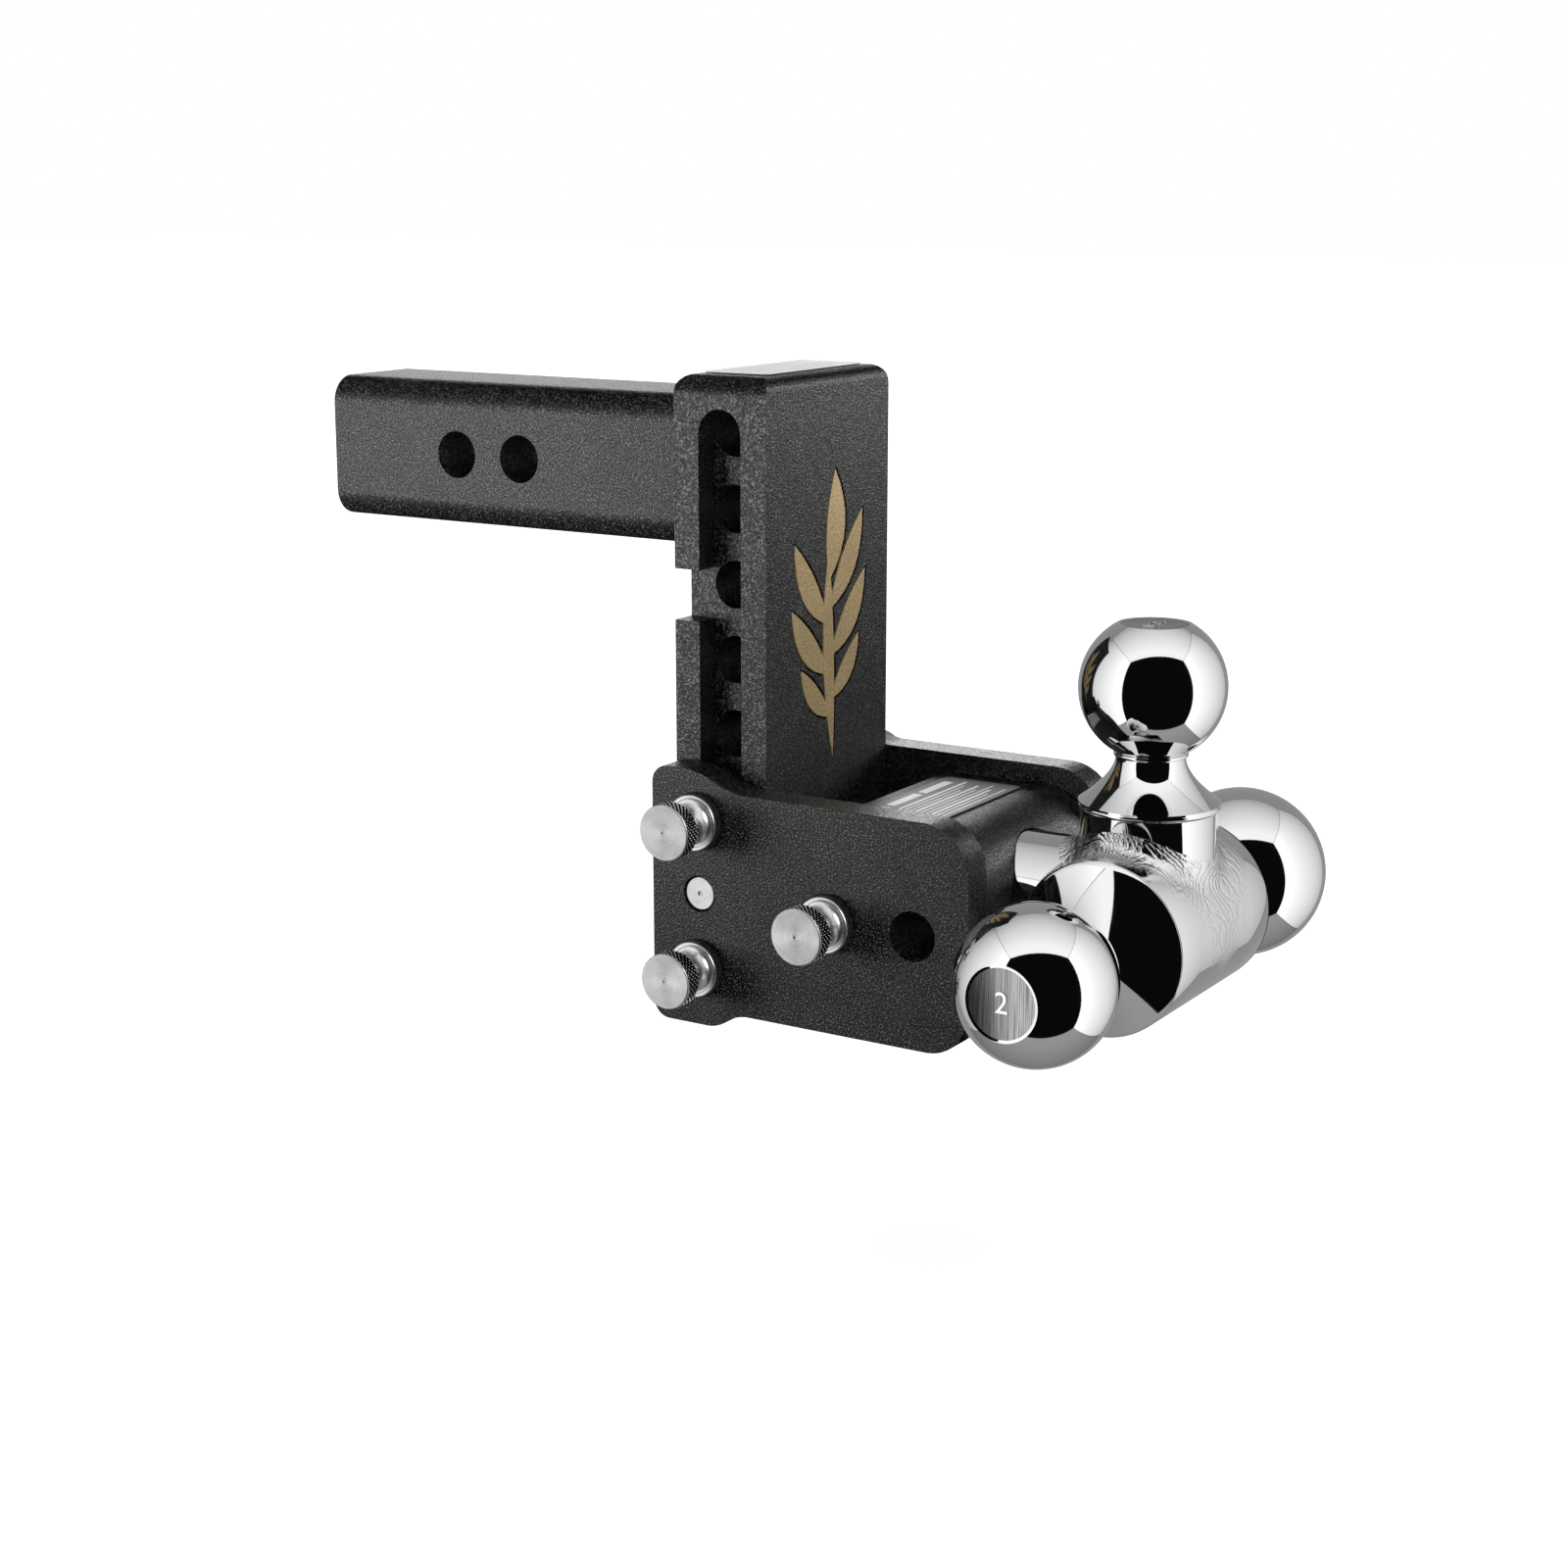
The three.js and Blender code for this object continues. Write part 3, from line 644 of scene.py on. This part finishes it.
knob = {
    "headR": 9.5,
    "headLength": 7.1,
    "neckR": 5.4,
    "flangeR": 9.55,
    "flange": 2.0,
    "waist": 4.0,  # length of the flare from the flange to the neck
    "diamonds": 34,
    "depth": 0.7,
    "knurlRows": 24,
}
ring = {"innerR": 8.3, "steps": 72}
rod = {"r": 7.92, "tail": 7.5, "tailR": 5.4, "grooveR": 4.3, "steps": 72}
lock = {
    "boreR": 5.9,
    "boreDepth": 8,
    "capSeatR": 7.9,
    "grooves": (4.4, 6.8, 9.2),
    "grooveDepth": 0.45,
    "gap": 0.03,
}
guide = {"rollerR": 7.85, "stemR": 5.8, "shoulder": 10.2}
pieceNames = {"lock_pin_upper": "lockPinUpper", "lock_pin_lower": "lockPinLower", "ball_pin": "ballPin"}


def nodeSize(node):
    # outer radius and length of a node that is turned about Y
    low, high = boxMm(node)
    return (high.x - low.x) / 2, high.y - low.y


def knobBody(pin):
    # flange, waist and the head's smooth core, from the flange's face outwards
    length = nodeSize(f"{pin}_knob")[1]
    head = length - knob["headLength"]
    flangeR, flange, neckR, headR = knob["flangeR"], knob["flange"], knob["neckR"], knob["headR"]
    profile = [(0, 0), (flangeR - 0.5, 0)] + arc(flangeR - 0.5, 0.5, 0.5, -90, 0, 4)
    profile += arc(flangeR - 0.6, flange - 0.6, 0.6, 0, 90, 4)
    profile += [(flangeR - 1.3, flange - 0.05), (flangeR - 1.5, flange - 0.35)]
    profile += [(flangeR - 2.2, flange - 0.3)]
    for step in range(9):
        rise = step / 8
        flare = (flangeR - 2.6 - neckR) * (1 - rise) ** 2
        profile.append((neckR + flare, flange + knob["waist"] * rise))
    profile += [(neckR, head - 1.6)] + arc(neckR + 1.2, head - 1.3, 1.2, 180, 90, 5)
    profile += [(headR - 1.2, head - 0.1), (headR - 0.8, head + 0.2), (headR - 0.75, length - 0.7)]
    return standInNode(spinProfile(profile, 72), f"{pin}_knob", -1)


def knobFace(pin):
    # spun end face with a small centre mark
    length = nodeSize(f"{pin}_knob")[1]
    headR = knob["headR"]
    profile = [(headR - 0.76, length - 0.75), (headR - 0.05, length - 0.75)]
    profile += arc(headR - 0.5, length - 0.5, 0.45, 0, 90, 4)
    profile += [(r, length - 0.05) for r in (8, 7, 6, 5, 4, 3, 2, 1.2)]
    profile += [(0.8, length - 0.06), (0.4, length - 0.2), (0, length - 0.25)]
    return standInNode(spinProfile(profile, 96), f"{pin}_knob", -1)


def ridge(value):
    # a zigzag from 0 to 1 and back, once for each whole number
    return 1 - abs(2 * (value - math.floor(value)) - 1)


def knurlBand(pin):
    # a band of raised diamonds round the head
    length = nodeSize(f"{pin}_knob")[1]
    headR, depth, count, rows = knob["headR"], knob["depth"], knob["diamonds"], knob["knurlRows"]
    start, end = length - knob["headLength"] + 0.2, length - 0.75
    pitch = math.tau * headR / count
    profile = [(headR - 0.8, start)]
    profile += [(headR, start + (end - start) * row / rows) for row in range(rows + 1)]
    profile += [(headR - 0.8, end)]
    bm = spinProfile(profile, count * 4)
    # the "along" layer here carries painted shade: 0.2 on the band's end walls, 0 in the valleys, rising to
    # 1 on the points
    shade = bm.verts.layers.float["along"]
    for vert in bm.verts:
        radius = math.hypot(vert.co.x, vert.co.y)
        if radius < headR - 0.1:
            vert[shade] = 0.2
            continue
        around = math.atan2(vert.co.y, vert.co.x) * count / math.tau
        up = vert.co.z / pitch
        point = min(ridge(around + up), ridge(around - up))
        edge = min(1, (vert.co.z - start) / 0.5, (end - vert.co.z) / 0.5)
        rise = min(1, point * 1.35)
        vert[shade] = rise
        factor = (headR - depth * (1 - rise) - 0.35 * (1 - edge)) / radius
        vert.co.x *= factor
        vert.co.y *= factor
    return standInNode(bm, f"{pin}_knob", -1)


def pinRing(pin):
    outer, thick = nodeSize(f"{pin}_ring")
    r = thick / 2
    profile = arc(outer - r, r, r, -90, 90, 12)
    profile += [(ring["innerR"], thick), (ring["innerR"], 0), (outer - r, 0)]
    return standInNode(spinProfile(profile, ring["steps"]), f"{pin}_ring", 1)


def pinRod(pin):
    # the ball pin's rod ends in a grooved tail that its lock grips
    length = nodeSize(f"{pin}_rod")[1]
    r, tail, tailR, grooveR = rod["r"], rod["tail"], rod["tailR"], rod["grooveR"]
    profile = [(0, 0), (r, 0)]
    if pin == "ball_pin":
        profile += [(r, length - tail - 1.2), (r - 1.2, length - tail), (tailR, length - tail)]
        profile += [(tailR, length - 4.6), (grooveR, length - 4.2)]
        profile += [(grooveR, length - 2.4), (tailR, length - 2)]
        profile += arc(4.8, length - 0.6, 0.6, 0, 90, 4)
    else:
        profile += [(r, length - 1.4)] + arc(r - 1.4, length - 1.4, 1.4, 0, 90, 5)
    profile += [(0, length)]
    return standInNode(spinProfile(profile, rod["steps"]), f"{pin}_rod", 1)


def lockHead(pin):
    # a round lock with three grooves and a seat for its cap
    outer, length = nodeSize(f"{pin}_lock_head")
    r, boreR, seatR = outer - lock["gap"], lock["boreR"], lock["capSeatR"]
    profile = [(0, lock["boreDepth"]), (boreR, lock["boreDepth"]), (boreR, 0.4), (6.3, 0), (r - 0.6, 0)]
    profile += arc(r - 0.6, 0.6, 0.6, -90, 0, 4)
    for groove in lock["grooves"]:
        inner = r - lock["grooveDepth"]
        profile += [(r, groove), (inner, groove + 0.25), (inner, groove + 0.75), (r, groove + 1.0)]
    profile += arc(r - 1.1, length - 1.1, 1.1, 0, 90, 6)
    profile += [(seatR, length), (seatR, length - 0.6), (0, length - 0.6)]
    return standInNode(spinProfile(profile, 72), f"{pin}_lock_head", 1)


def lockCap(pin):
    # a rubber cap with a shallow ring pressed into it
    outer, length = nodeSize(f"{pin}_lock_cap")
    r = outer - lock["gap"]
    profile = [(0, 0), (r, 0), (r, length - 0.8)] + arc(r - 0.8, length - 0.8, 0.8, 0, 90, 6)
    profile += [(5.2, length), (4.9, length - 0.35), (4.5, length - 0.35)]
    profile += [(4.2, length - 0.05), (0, length - 0.05)]
    return standInNode(spinProfile(profile, 60), f"{pin}_lock_cap", 1)


for pin, name in pieceNames.items():
    lockBody = f"{pin}_lock"
    finishPiece(f"{name}Knob", knobBody(pin), [spun], pin, [f"{pin}_knob"], 40)
    finishPiece(f"{name}Face", knobFace(pin), [spunFace], pin, (), 40)
    finishPiece(f"{name}Knurl", knurlBand(pin), [knurled], pin, (), 60)
    finishPiece(f"{name}Ring", pinRing(pin), [rubber], pin, [f"{pin}_ring"])
    finishPiece(f"{name}Rod", pinRod(pin), [pinSteel], pin, [f"{pin}_rod"])
    finishPiece(f"{name}LockHead", lockHead(pin), [pinSteel], lockBody, [f"{pin}_lock_head"])
    finishPiece(f"{name}LockCap", lockCap(pin), [rubber], lockBody, [f"{pin}_lock_cap"])


def guidePin(node, name, side):
    # a roller in the upright's groove, and a thinner stem through the plate
    length = nodeSize(node)[1]
    rollerR, stemR, shoulder = guide["rollerR"], guide["stemR"], guide["shoulder"]
    profile = [(0, 0), (rollerR - 0.9, 0), (rollerR, 0.9), (rollerR, shoulder), (stemR, shoulder)]
    profile += [(stemR, length - 0.5)] + arc(stemR - 0.5, length - 0.5, 0.5, 0, 90, 4)
    profile += [(r, length) for r in (4.5, 3.6, 2.7, 1.8, 0.9)]
    profile += [(0.5, length - 0.25), (0, length - 0.3)]
    bm = standInNode(spinProfile(profile, 60), node, side)
    return finishPiece(name, bm, [pinSteel], "housing", [node])


guidePin("guide_pin_near", "guidePinNear", -1)
guidePin("guide_pin_far", "guidePinFar", 1)
print("pins made")

mount = {
    "reach": 78.5,  # from the mount's centre to each ball's centre
    "neckR": 11.3,
    "flatR": 12.0,
    "rimR": 23.0,  # rim of the top ball's flare, on its collar
    "rimHeight": 41.5,
    "collarR": 22.2,
    "barrelR": 28.575,
    "barrelHalf": 34.5,
    "shaftR": 25.4,
    "crossHoleR": 8.4,
    "ballSteps": 128,
    "ballRows": 56,
    "flareRows": 24,
}
ballSet = [
    {"node": "ball_near", "name": "ballNear", "r": 25.4, "mark": "2",
     "direction": (0, -1, 0), "markUp": (0, 0, 1)},
    {"node": "ball_far", "name": "ballFar", "r": 29.37, "mark": "2-5/16",
     "direction": (0, 1, 0), "markUp": (0, 0, 1)},
    {"node": "ball_top", "name": "ballTop", "r": 23.81, "mark": "1-7/8",
     "direction": (0, 0, 1), "markUp": (-1, 0, 0)},
]


def ballProfile(ball):
    # foot, flare, neck, ball and its flat end; also gives the flat's height
    r, neckR, flatR, reach = ball["r"], mount["neckR"], mount["flatR"], mount["reach"]
    under, flat = math.asin((neckR + 1.0) / r), math.asin(flatR / r)
    neckTop = reach - r * math.cos(under)
    if ball["name"] == "ballTop":
        rimR, rimHeight = mount["rimR"], mount["rimHeight"]
        profile = [(0, 14), (22.1, 14), (22.1, 39.0), (mount["collarR"], 39.2)]
        profile += arc(rimR - 0.8, 40.2, 0.8, -60, 40, 6)
    else:
        rimR, rimHeight = mount["barrelR"] - 0.05, mount["barrelHalf"] + 0.7
        profile = [(0, 34.8), (rimR - 0.3, 34.8), (rimR, 35.0)]
    neckLow = neckTop - 2.6
    for step in range(mount["flareRows"] + 1):
        rise = step / mount["flareRows"]
        flare = (rimR - 0.1 - neckR) * (1 - rise) ** 1.7
        profile.append((neckR + flare, rimHeight + (neckLow - rimHeight) * rise))
    profile += [(neckR, neckTop - 2.0)] + arc(neckR, neckTop - 1.2, 0.75, -80, 70, 7)
    profile.append((neckR + 0.35, neckTop - 0.28))
    start, end = math.pi - under, flat
    for step in range(mount["ballRows"] + 1):
        fromTop = start + (end - start) * step / mount["ballRows"]
        profile.append((r * math.sin(fromTop), reach + r * math.cos(fromTop)))
    top = reach + r * math.cos(flat)
    profile += [(flatR - 0.35, top - 0.02), (flatR - 0.9, top - 0.25), (0, top - 0.25)]
    return profile, top - 0.25


def ballPiece(ball):
    profile, top = ballProfile(ball)
    bm = spinProfile(profile, mount["ballSteps"])
    for face in bm.faces:
        middle = face.calc_center_median()
        if middle.z > top - 0.05 and math.hypot(middle.x, middle.y) < mount["flatR"] - 0.9:
            face.material_index = 1
    standAlong(bm, mountCentre, ball["direction"])
    return finishPiece(ball["name"], bm, [chrome, ballFlat], "ball_mount", [ball["node"]])


def barrelPiece():
    r, half = mount["barrelR"], mount["barrelHalf"]
    profile = [(0, -half), (r - 0.4, -half)] + arc(r - 0.4, -half + 0.4, 0.4, -90, 0, 3)
    profile += [(r, h) for h in (-20, 0, 20)] + arc(r - 0.4, half - 0.4, 0.4, 0, 90, 3) + [(0, half)]
    bm = standAlong(spinProfile(profile, mount["ballSteps"]), mountCentre, (0, 1, 0))
    return finishPiece("barrelTube", bm, [barrelChrome], "ball_mount", ["barrel"])


def crossHole(shaft, x, direction):
    # drill the shaft through, where the ball pin goes when the mount is in its spare position
    r = mount["crossHoleR"] * mm
    bm = bmesh.new()
    bmesh.ops.create_cone(bm, cap_ends=True, segments=48, radius1=r, radius2=r, depth=60 * mm)
    standAlong(bm, (x, 0, mountCentre.z * mm), direction)
    mesh = bpy.data.meshes.new("crossHole")
    bm.to_mesh(mesh)
    bm.free()
    drill = bpy.data.objects.new("crossHole", mesh)
    bpy.context.scene.collection.objects.link(drill)
    cut = shaft.modifiers.new("crossHole", "BOOLEAN")
    cut.object = drill
    cut.operation = "DIFFERENCE"
    bpy.context.view_layer.objects.active = shaft
    bpy.ops.object.modifier_apply(modifier=cut.name)
    bpy.data.objects.remove(drill)


def shaftPiece():
    low = boxMm("ball_shaft")[0]
    r = mount["shaftR"]
    length = mountCentre.x - 14 - low.x
    profile = [(0, 0), (r - 1.5, 0), (r, 1.5), (r, length * 0.3), (r, length * 0.6)]
    profile += [(r, length), (0, length)]
    bm = standAlong(spinProfile(profile, 128), (low.x, 0, mountCentre.z), (1, 0, 0))
    shaft = finishPiece("ballShaft", bm, [chrome], "ball_mount", ["ball_shaft"])
    openings = {opening["name"]: opening["box_m"] for opening in frame["record"]["physics"]["openings"]}
    start, end = openings["spare_cross_hole"]
    for direction in ((0, 1, 0), (0, 0, 1)):
        crossHole(shaft, (start[0] + end[0]) / 2, direction)
    return shaft


def groundHeight(x, y, withShaft):
    # height of the barrel, and of the shaft beside it, above the mount's centre
    barrelR, shaftR = mount["barrelR"], mount["shaftR"]
    height = math.sqrt(max(0.01, barrelR ** 2 - x * x)) if abs(y) <= mount["barrelHalf"] else 0
    if withShaft and x < 0 and abs(y) < shaftR:
        height = max(height, math.sqrt(shaftR ** 2 - y * y))
    return height


def walkOut(x, y, length, withShaft):
    # go outwards over the surface until that much of it has been crossed
    outward = Vector((x, y)).normalized()
    here = Vector((x, y, groundHeight(x, y, withShaft)))
    crossed = 0.0
    while crossed < length:
        flat = Vector((here.x, here.y)) + outward * 0.1
        there = Vector((flat.x, flat.y, groundHeight(flat.x, flat.y, withShaft)))
        crossed += (there - here).length
        here = there
    return here


def saddleWeld(name, weld):
    # a ground fillet where a round stub stands on the barrel
    sections = []
    count, withShaft = 144, weld["withShaft"]
    for step in range(count + 1):
        angle = math.tau * step / count
        wobble = 1 + 0.07 * noise.noise(Vector((math.cos(angle), math.sin(angle), 2)) * 5)
        x, y = weld["stubR"] * math.cos(angle), weld["stubR"] * math.sin(angle)
        corner = Vector((x, y, groundHeight(x, y, withShaft)))
        onStub = corner + Vector((0, 0, weld["leg"] * wobble))
        onBarrel = walkOut(x, y, weld["leg"] * wobble, withShaft)
        sections.append(filletSection(onStub, corner, onBarrel, 0.1, 10, 1.5))
    bm = standAlong(sweepSections(sections), mountCentre, weld["direction"])
    return finishPiece(name, bm, [weld["finish"]], "ball_mount", [weld["node"]], 70)


for ball in ballSet:
    ballPiece(ball)
barrelPiece()
shaftPiece()
saddleWelds = {
    "collarWeld": {"node": "collar_weld", "stubR": mount["collarR"], "leg": 6.5, "withShaft": True,
                   "direction": (0, 0, 1), "finish": collarChrome},
    "shaftWeld": {"node": "shaft_weld", "stubR": mount["shaftR"], "leg": 4, "withShaft": False,
                  "direction": (-1, 0, 0), "finish": shaftChrome},
}
for name, weld in saddleWelds.items():
    saddleWeld(name, weld)
figures = {"single": 9.5, "several": 5.4, "half": 0.12}  # sizes of the figures and half their height


def sizeMark(ball):
    # the ball's size in plain figures, raised on its flat end
    top = ballProfile(ball)[1]
    curve = bpy.data.curves.new("sizeMark", "FONT")
    curve.body = ball["mark"]
    curve.size = figures["single"] if len(curve.body) == 1 else figures["several"]
    curve.align_x = "CENTER"
    curve.align_y = "CENTER"
    curve.extrude = figures["half"]
    holder = bpy.data.objects.new("sizeMark", curve)
    bpy.context.scene.collection.objects.link(holder)
    mesh = bpy.data.meshes.new_from_object(holder.evaluated_get(bpy.context.evaluated_depsgraph_get()))
    bpy.data.objects.remove(holder)
    bm = bmesh.new()
    bm.from_mesh(mesh)
    bmesh.ops.translate(bm, vec=(0, 0, top + figures["half"]), verts=bm.verts)
    outward, upward = Vector(ball["direction"]), Vector(ball["markUp"])
    frameTurn = Matrix((upward.cross(outward), upward, outward)).transposed()
    bmesh.ops.rotate(bm, cent=(0, 0, 0), matrix=frameTurn, verts=bm.verts)
    bmesh.ops.translate(bm, vec=mountCentre, verts=bm.verts)
    return finishPiece(f"{ball['name']}Mark", bm, [chrome], "ball_mount", ())


for ball in ballSet:
    sizeMark(ball)
print("ball mount made")

shot = {
    "azimuth": 32.15,
    "pitch": 13.16,
    "place": (0.5821, -0.7769, 0.1043),
    "lens": 61.9,
}
tent = {"front": 0.9, "back": 1.3, "half": 1.28, "top": 1.5, "bottom": 1.36, "seam": 0.02}
tentGlow = {  # strength at the back of the tent, and at its front where it changes
    "tentFront": (0.004, None),
    "tentBack": (0.36, None),
    "tentLeft": (0.4, 1.65),
    "tentRight": (0.6, 1.65),
    "tentTop": (0.5, 1.45),
    "tentFloor": (0.22, 0.45),
    "tentSeam": (0.12, None),
}
stageFloor = {"size": 9, "below": 0.13, "glow": 0.45}  # below the lowest ball when the mount is turned
lampAim = Vector((0.06, 0, -0.07))
lamps = {
    "sideLamp": {"towards": (-0.6, -0.78, 0.02), "distance": 0.8, "size": (0.5, 0.3), "energy": 3.4},
    "topLamp": {"towards": (-0.52, 0.82, 0.25), "distance": 1.1, "size": (0.7, 0.4), "energy": 2.6},
    "rearLamp": {"towards": (0.5, 0.82, 0.2), "distance": 1.1, "size": (0.35, 0.3), "energy": 3.2},
    "farLamp": {"towards": (-0.3, 0.95, -0.05), "distance": 1.1, "size": (0.6, 0.4), "energy": 6},
    "pinLamp": {"towards": (0.78, -0.6, 0.35), "distance": 1.0, "size": (0.5, 0.5), "energy": 7},
}
cameraSide = Vector((math.sin(math.radians(shot["azimuth"])), -math.cos(math.radians(shot["azimuth"])), 0))


def emitter(name):
    # an even glow, or one that grows from the back of the tent to its front
    back, front = tentGlow[name]
    material = bpy.data.materials.new(name)
    material.use_nodes = True
    tree = material.node_tree
    tree.nodes.clear()
    glow = addNode(tree, "ShaderNodeEmission")
    glow.inputs["Strength"].default_value = back
    if front is not None:
        coords = addNode(tree, "ShaderNodeNewGeometry")
        forward = addNode(tree, "ShaderNodeVectorMath", operation="DOT_PRODUCT")
        tree.links.new(coords.outputs["Position"], forward.inputs[0])
        forward.inputs[1].default_value = cameraSide
        centre = cameraSide.dot(mountCentre * mm)
        start, end = centre - tent["back"], centre + tent["front"] * 0.6
        level = remap(tree, forward.outputs["Value"], start, end, back, front)
        tree.links.new(level, glow.inputs["Strength"])
    output = addNode(tree, "ShaderNodeOutputMaterial")
    tree.links.new(glow.outputs[0], output.inputs["Surface"])
    return material


def glossyOnly(obj):
    # seen in reflections and by nothing else
    obj.visible_camera = False
    obj.visible_diffuse = False
    obj.visible_shadow = False
    obj.visible_transmission = False


def buildTent():
    # a white tent with an open, dark front, turned to face the camera
    turn = Matrix.Rotation(math.radians(shot["azimuth"]), 3, "Z")
    bm = bmesh.new()
    bmesh.ops.create_cube(bm, size=2)
    for vert in bm.verts:
        vert.co.x *= tent["half"]
        vert.co.y = tent["back"] if vert.co.y > 0 else -tent["front"]
        vert.co.z = tent["top"] if vert.co.z > 0 else -tent["bottom"]
    sides = ["tentFront", "tentBack", "tentLeft", "tentRight", "tentTop", "tentFloor"]
    for face in bm.faces:
        face.normal_update()
        axis = max(range(3), key=lambda i: abs(face.normal[i]))
        if axis == 1:
            side = "tentFront" if face.normal.y < 0 else "tentBack"
        elif axis == 0:
            side = "tentLeft" if face.normal.x < 0 else "tentRight"
        else:
            side = "tentTop" if face.normal.z > 0 else "tentFloor"
        face.material_index = sides.index(side)
    bmesh.ops.rotate(bm, cent=(0, 0, 0), matrix=turn, verts=bm.verts)
    bmesh.ops.translate(bm, vec=mountCentre * mm, verts=bm.verts)
    seams = bm.copy()
    bmesh.ops.wireframe(seams, faces=seams.faces, thickness=tent["seam"], use_even_offset=True,
                        use_replace=True)
    for face in seams.faces:
        face.material_index = 0
    for name, shell, glows in (("tent", bm, sides), ("tentSeams", seams, ["tentSeam"])):
        mesh = bpy.data.meshes.new(name)
        shell.to_mesh(mesh)
        shell.free()
        for glow in glows:
            mesh.materials.append(emitter(glow))
        item = bpy.data.objects.new(name, mesh)
        bpy.context.scene.collection.objects.link(item)
        glossyOnly(item)
        item.light_linking.receiver_collection = brightMetal


def sortPieces():
    # polished metal is lit by the tent, coated or printed pieces by the lamps, satin pins by both
    names = ("brightMetal", "coatedPieces", "satinPins")
    metal, coated, pins = [bpy.data.collections.new(name) for name in names]
    satin = {spun.name, spunFace.name, pinSteel.name}
    bright = {knurled.name, chrome.name, barrelChrome.name, collarChrome.name, shaftChrome.name}
    for obj in bpy.context.scene.objects:
        if obj.type != "MESH" or obj.hide_render or not obj.data.materials:
            continue
        finish = obj.data.materials[0].name
        if finish in satin:
            pins.objects.link(obj)
        if finish in satin or finish in bright:
            metal.objects.link(obj)
        else:
            coated.objects.link(obj)
    return metal, coated, pins


def buildFloor():
    # white paper that no reflection shows
    bm = bmesh.new()
    bmesh.ops.create_grid(bm, x_segments=2, y_segments=2, size=stageFloor["size"])
    floorZ = mountCentre.z * mm - stageFloor["below"]
    bmesh.ops.translate(bm, vec=(0, 0, floorZ), verts=bm.verts)
    mesh = bpy.data.meshes.new("floor")
    bm.to_mesh(mesh)
    bm.free()
    material, _, shader = newMaterial("floorPaper", grey(0.9), 0.9)
    shader.inputs["Emission Color"].default_value = (1, 1, 1, 1)
    shader.inputs["Emission Strength"].default_value = stageFloor["glow"]
    mesh.materials.append(material)
    floor = bpy.data.objects.new("floor", mesh)
    bpy.context.scene.collection.objects.link(floor)
    floor.visible_glossy = False


def areaLight(name, lamp, pieces):
    # a soft lamp that faces the middle of the object
    towards = Vector(lamp["towards"])
    light = bpy.data.lights.new(name, "AREA")
    light.shape = "RECTANGLE"
    light.size, light.size_y = lamp["size"]
    light.energy = lamp["energy"]
    holder = bpy.data.objects.new(name, light)
    holder.location = lampAim + towards.normalized() * lamp["distance"]
    holder.rotation_mode = "QUATERNION"
    holder.rotation_quaternion = towards.to_track_quat("Z", "Y")
    holder.visible_camera = False
    holder.light_linking.receiver_collection = pieces
    bpy.context.scene.collection.objects.link(holder)


def buildWorld():
    world = bpy.data.worlds.new("studio")
    bpy.context.scene.world = world
    world.use_nodes = True
    background = world.node_tree.nodes["Background"]
    background.inputs["Color"].default_value = (1, 1, 1, 1)
    background.inputs["Strength"].default_value = 1.0


def buildCamera():
    data = bpy.data.cameras.new("camera")
    data.lens = shot["lens"]
    data.sensor_width = 36
    camera = bpy.data.objects.new("camera", data)
    camera.location = shot["place"]
    camera.rotation_euler = (math.radians(90 - shot["pitch"]), 0, math.radians(shot["azimuth"]))
    bpy.context.scene.collection.objects.link(camera)
    bpy.context.scene.camera = camera


brightMetal, coatedPieces, satinPins = sortPieces()
buildTent()
buildFloor()
buildWorld()
for name, lamp in lamps.items():
    areaLight(name, lamp, satinPins if name == "pinLamp" else coatedPieces)
buildCamera()
bpy.context.scene.view_settings.view_transform = "Standard"
print("stage made")
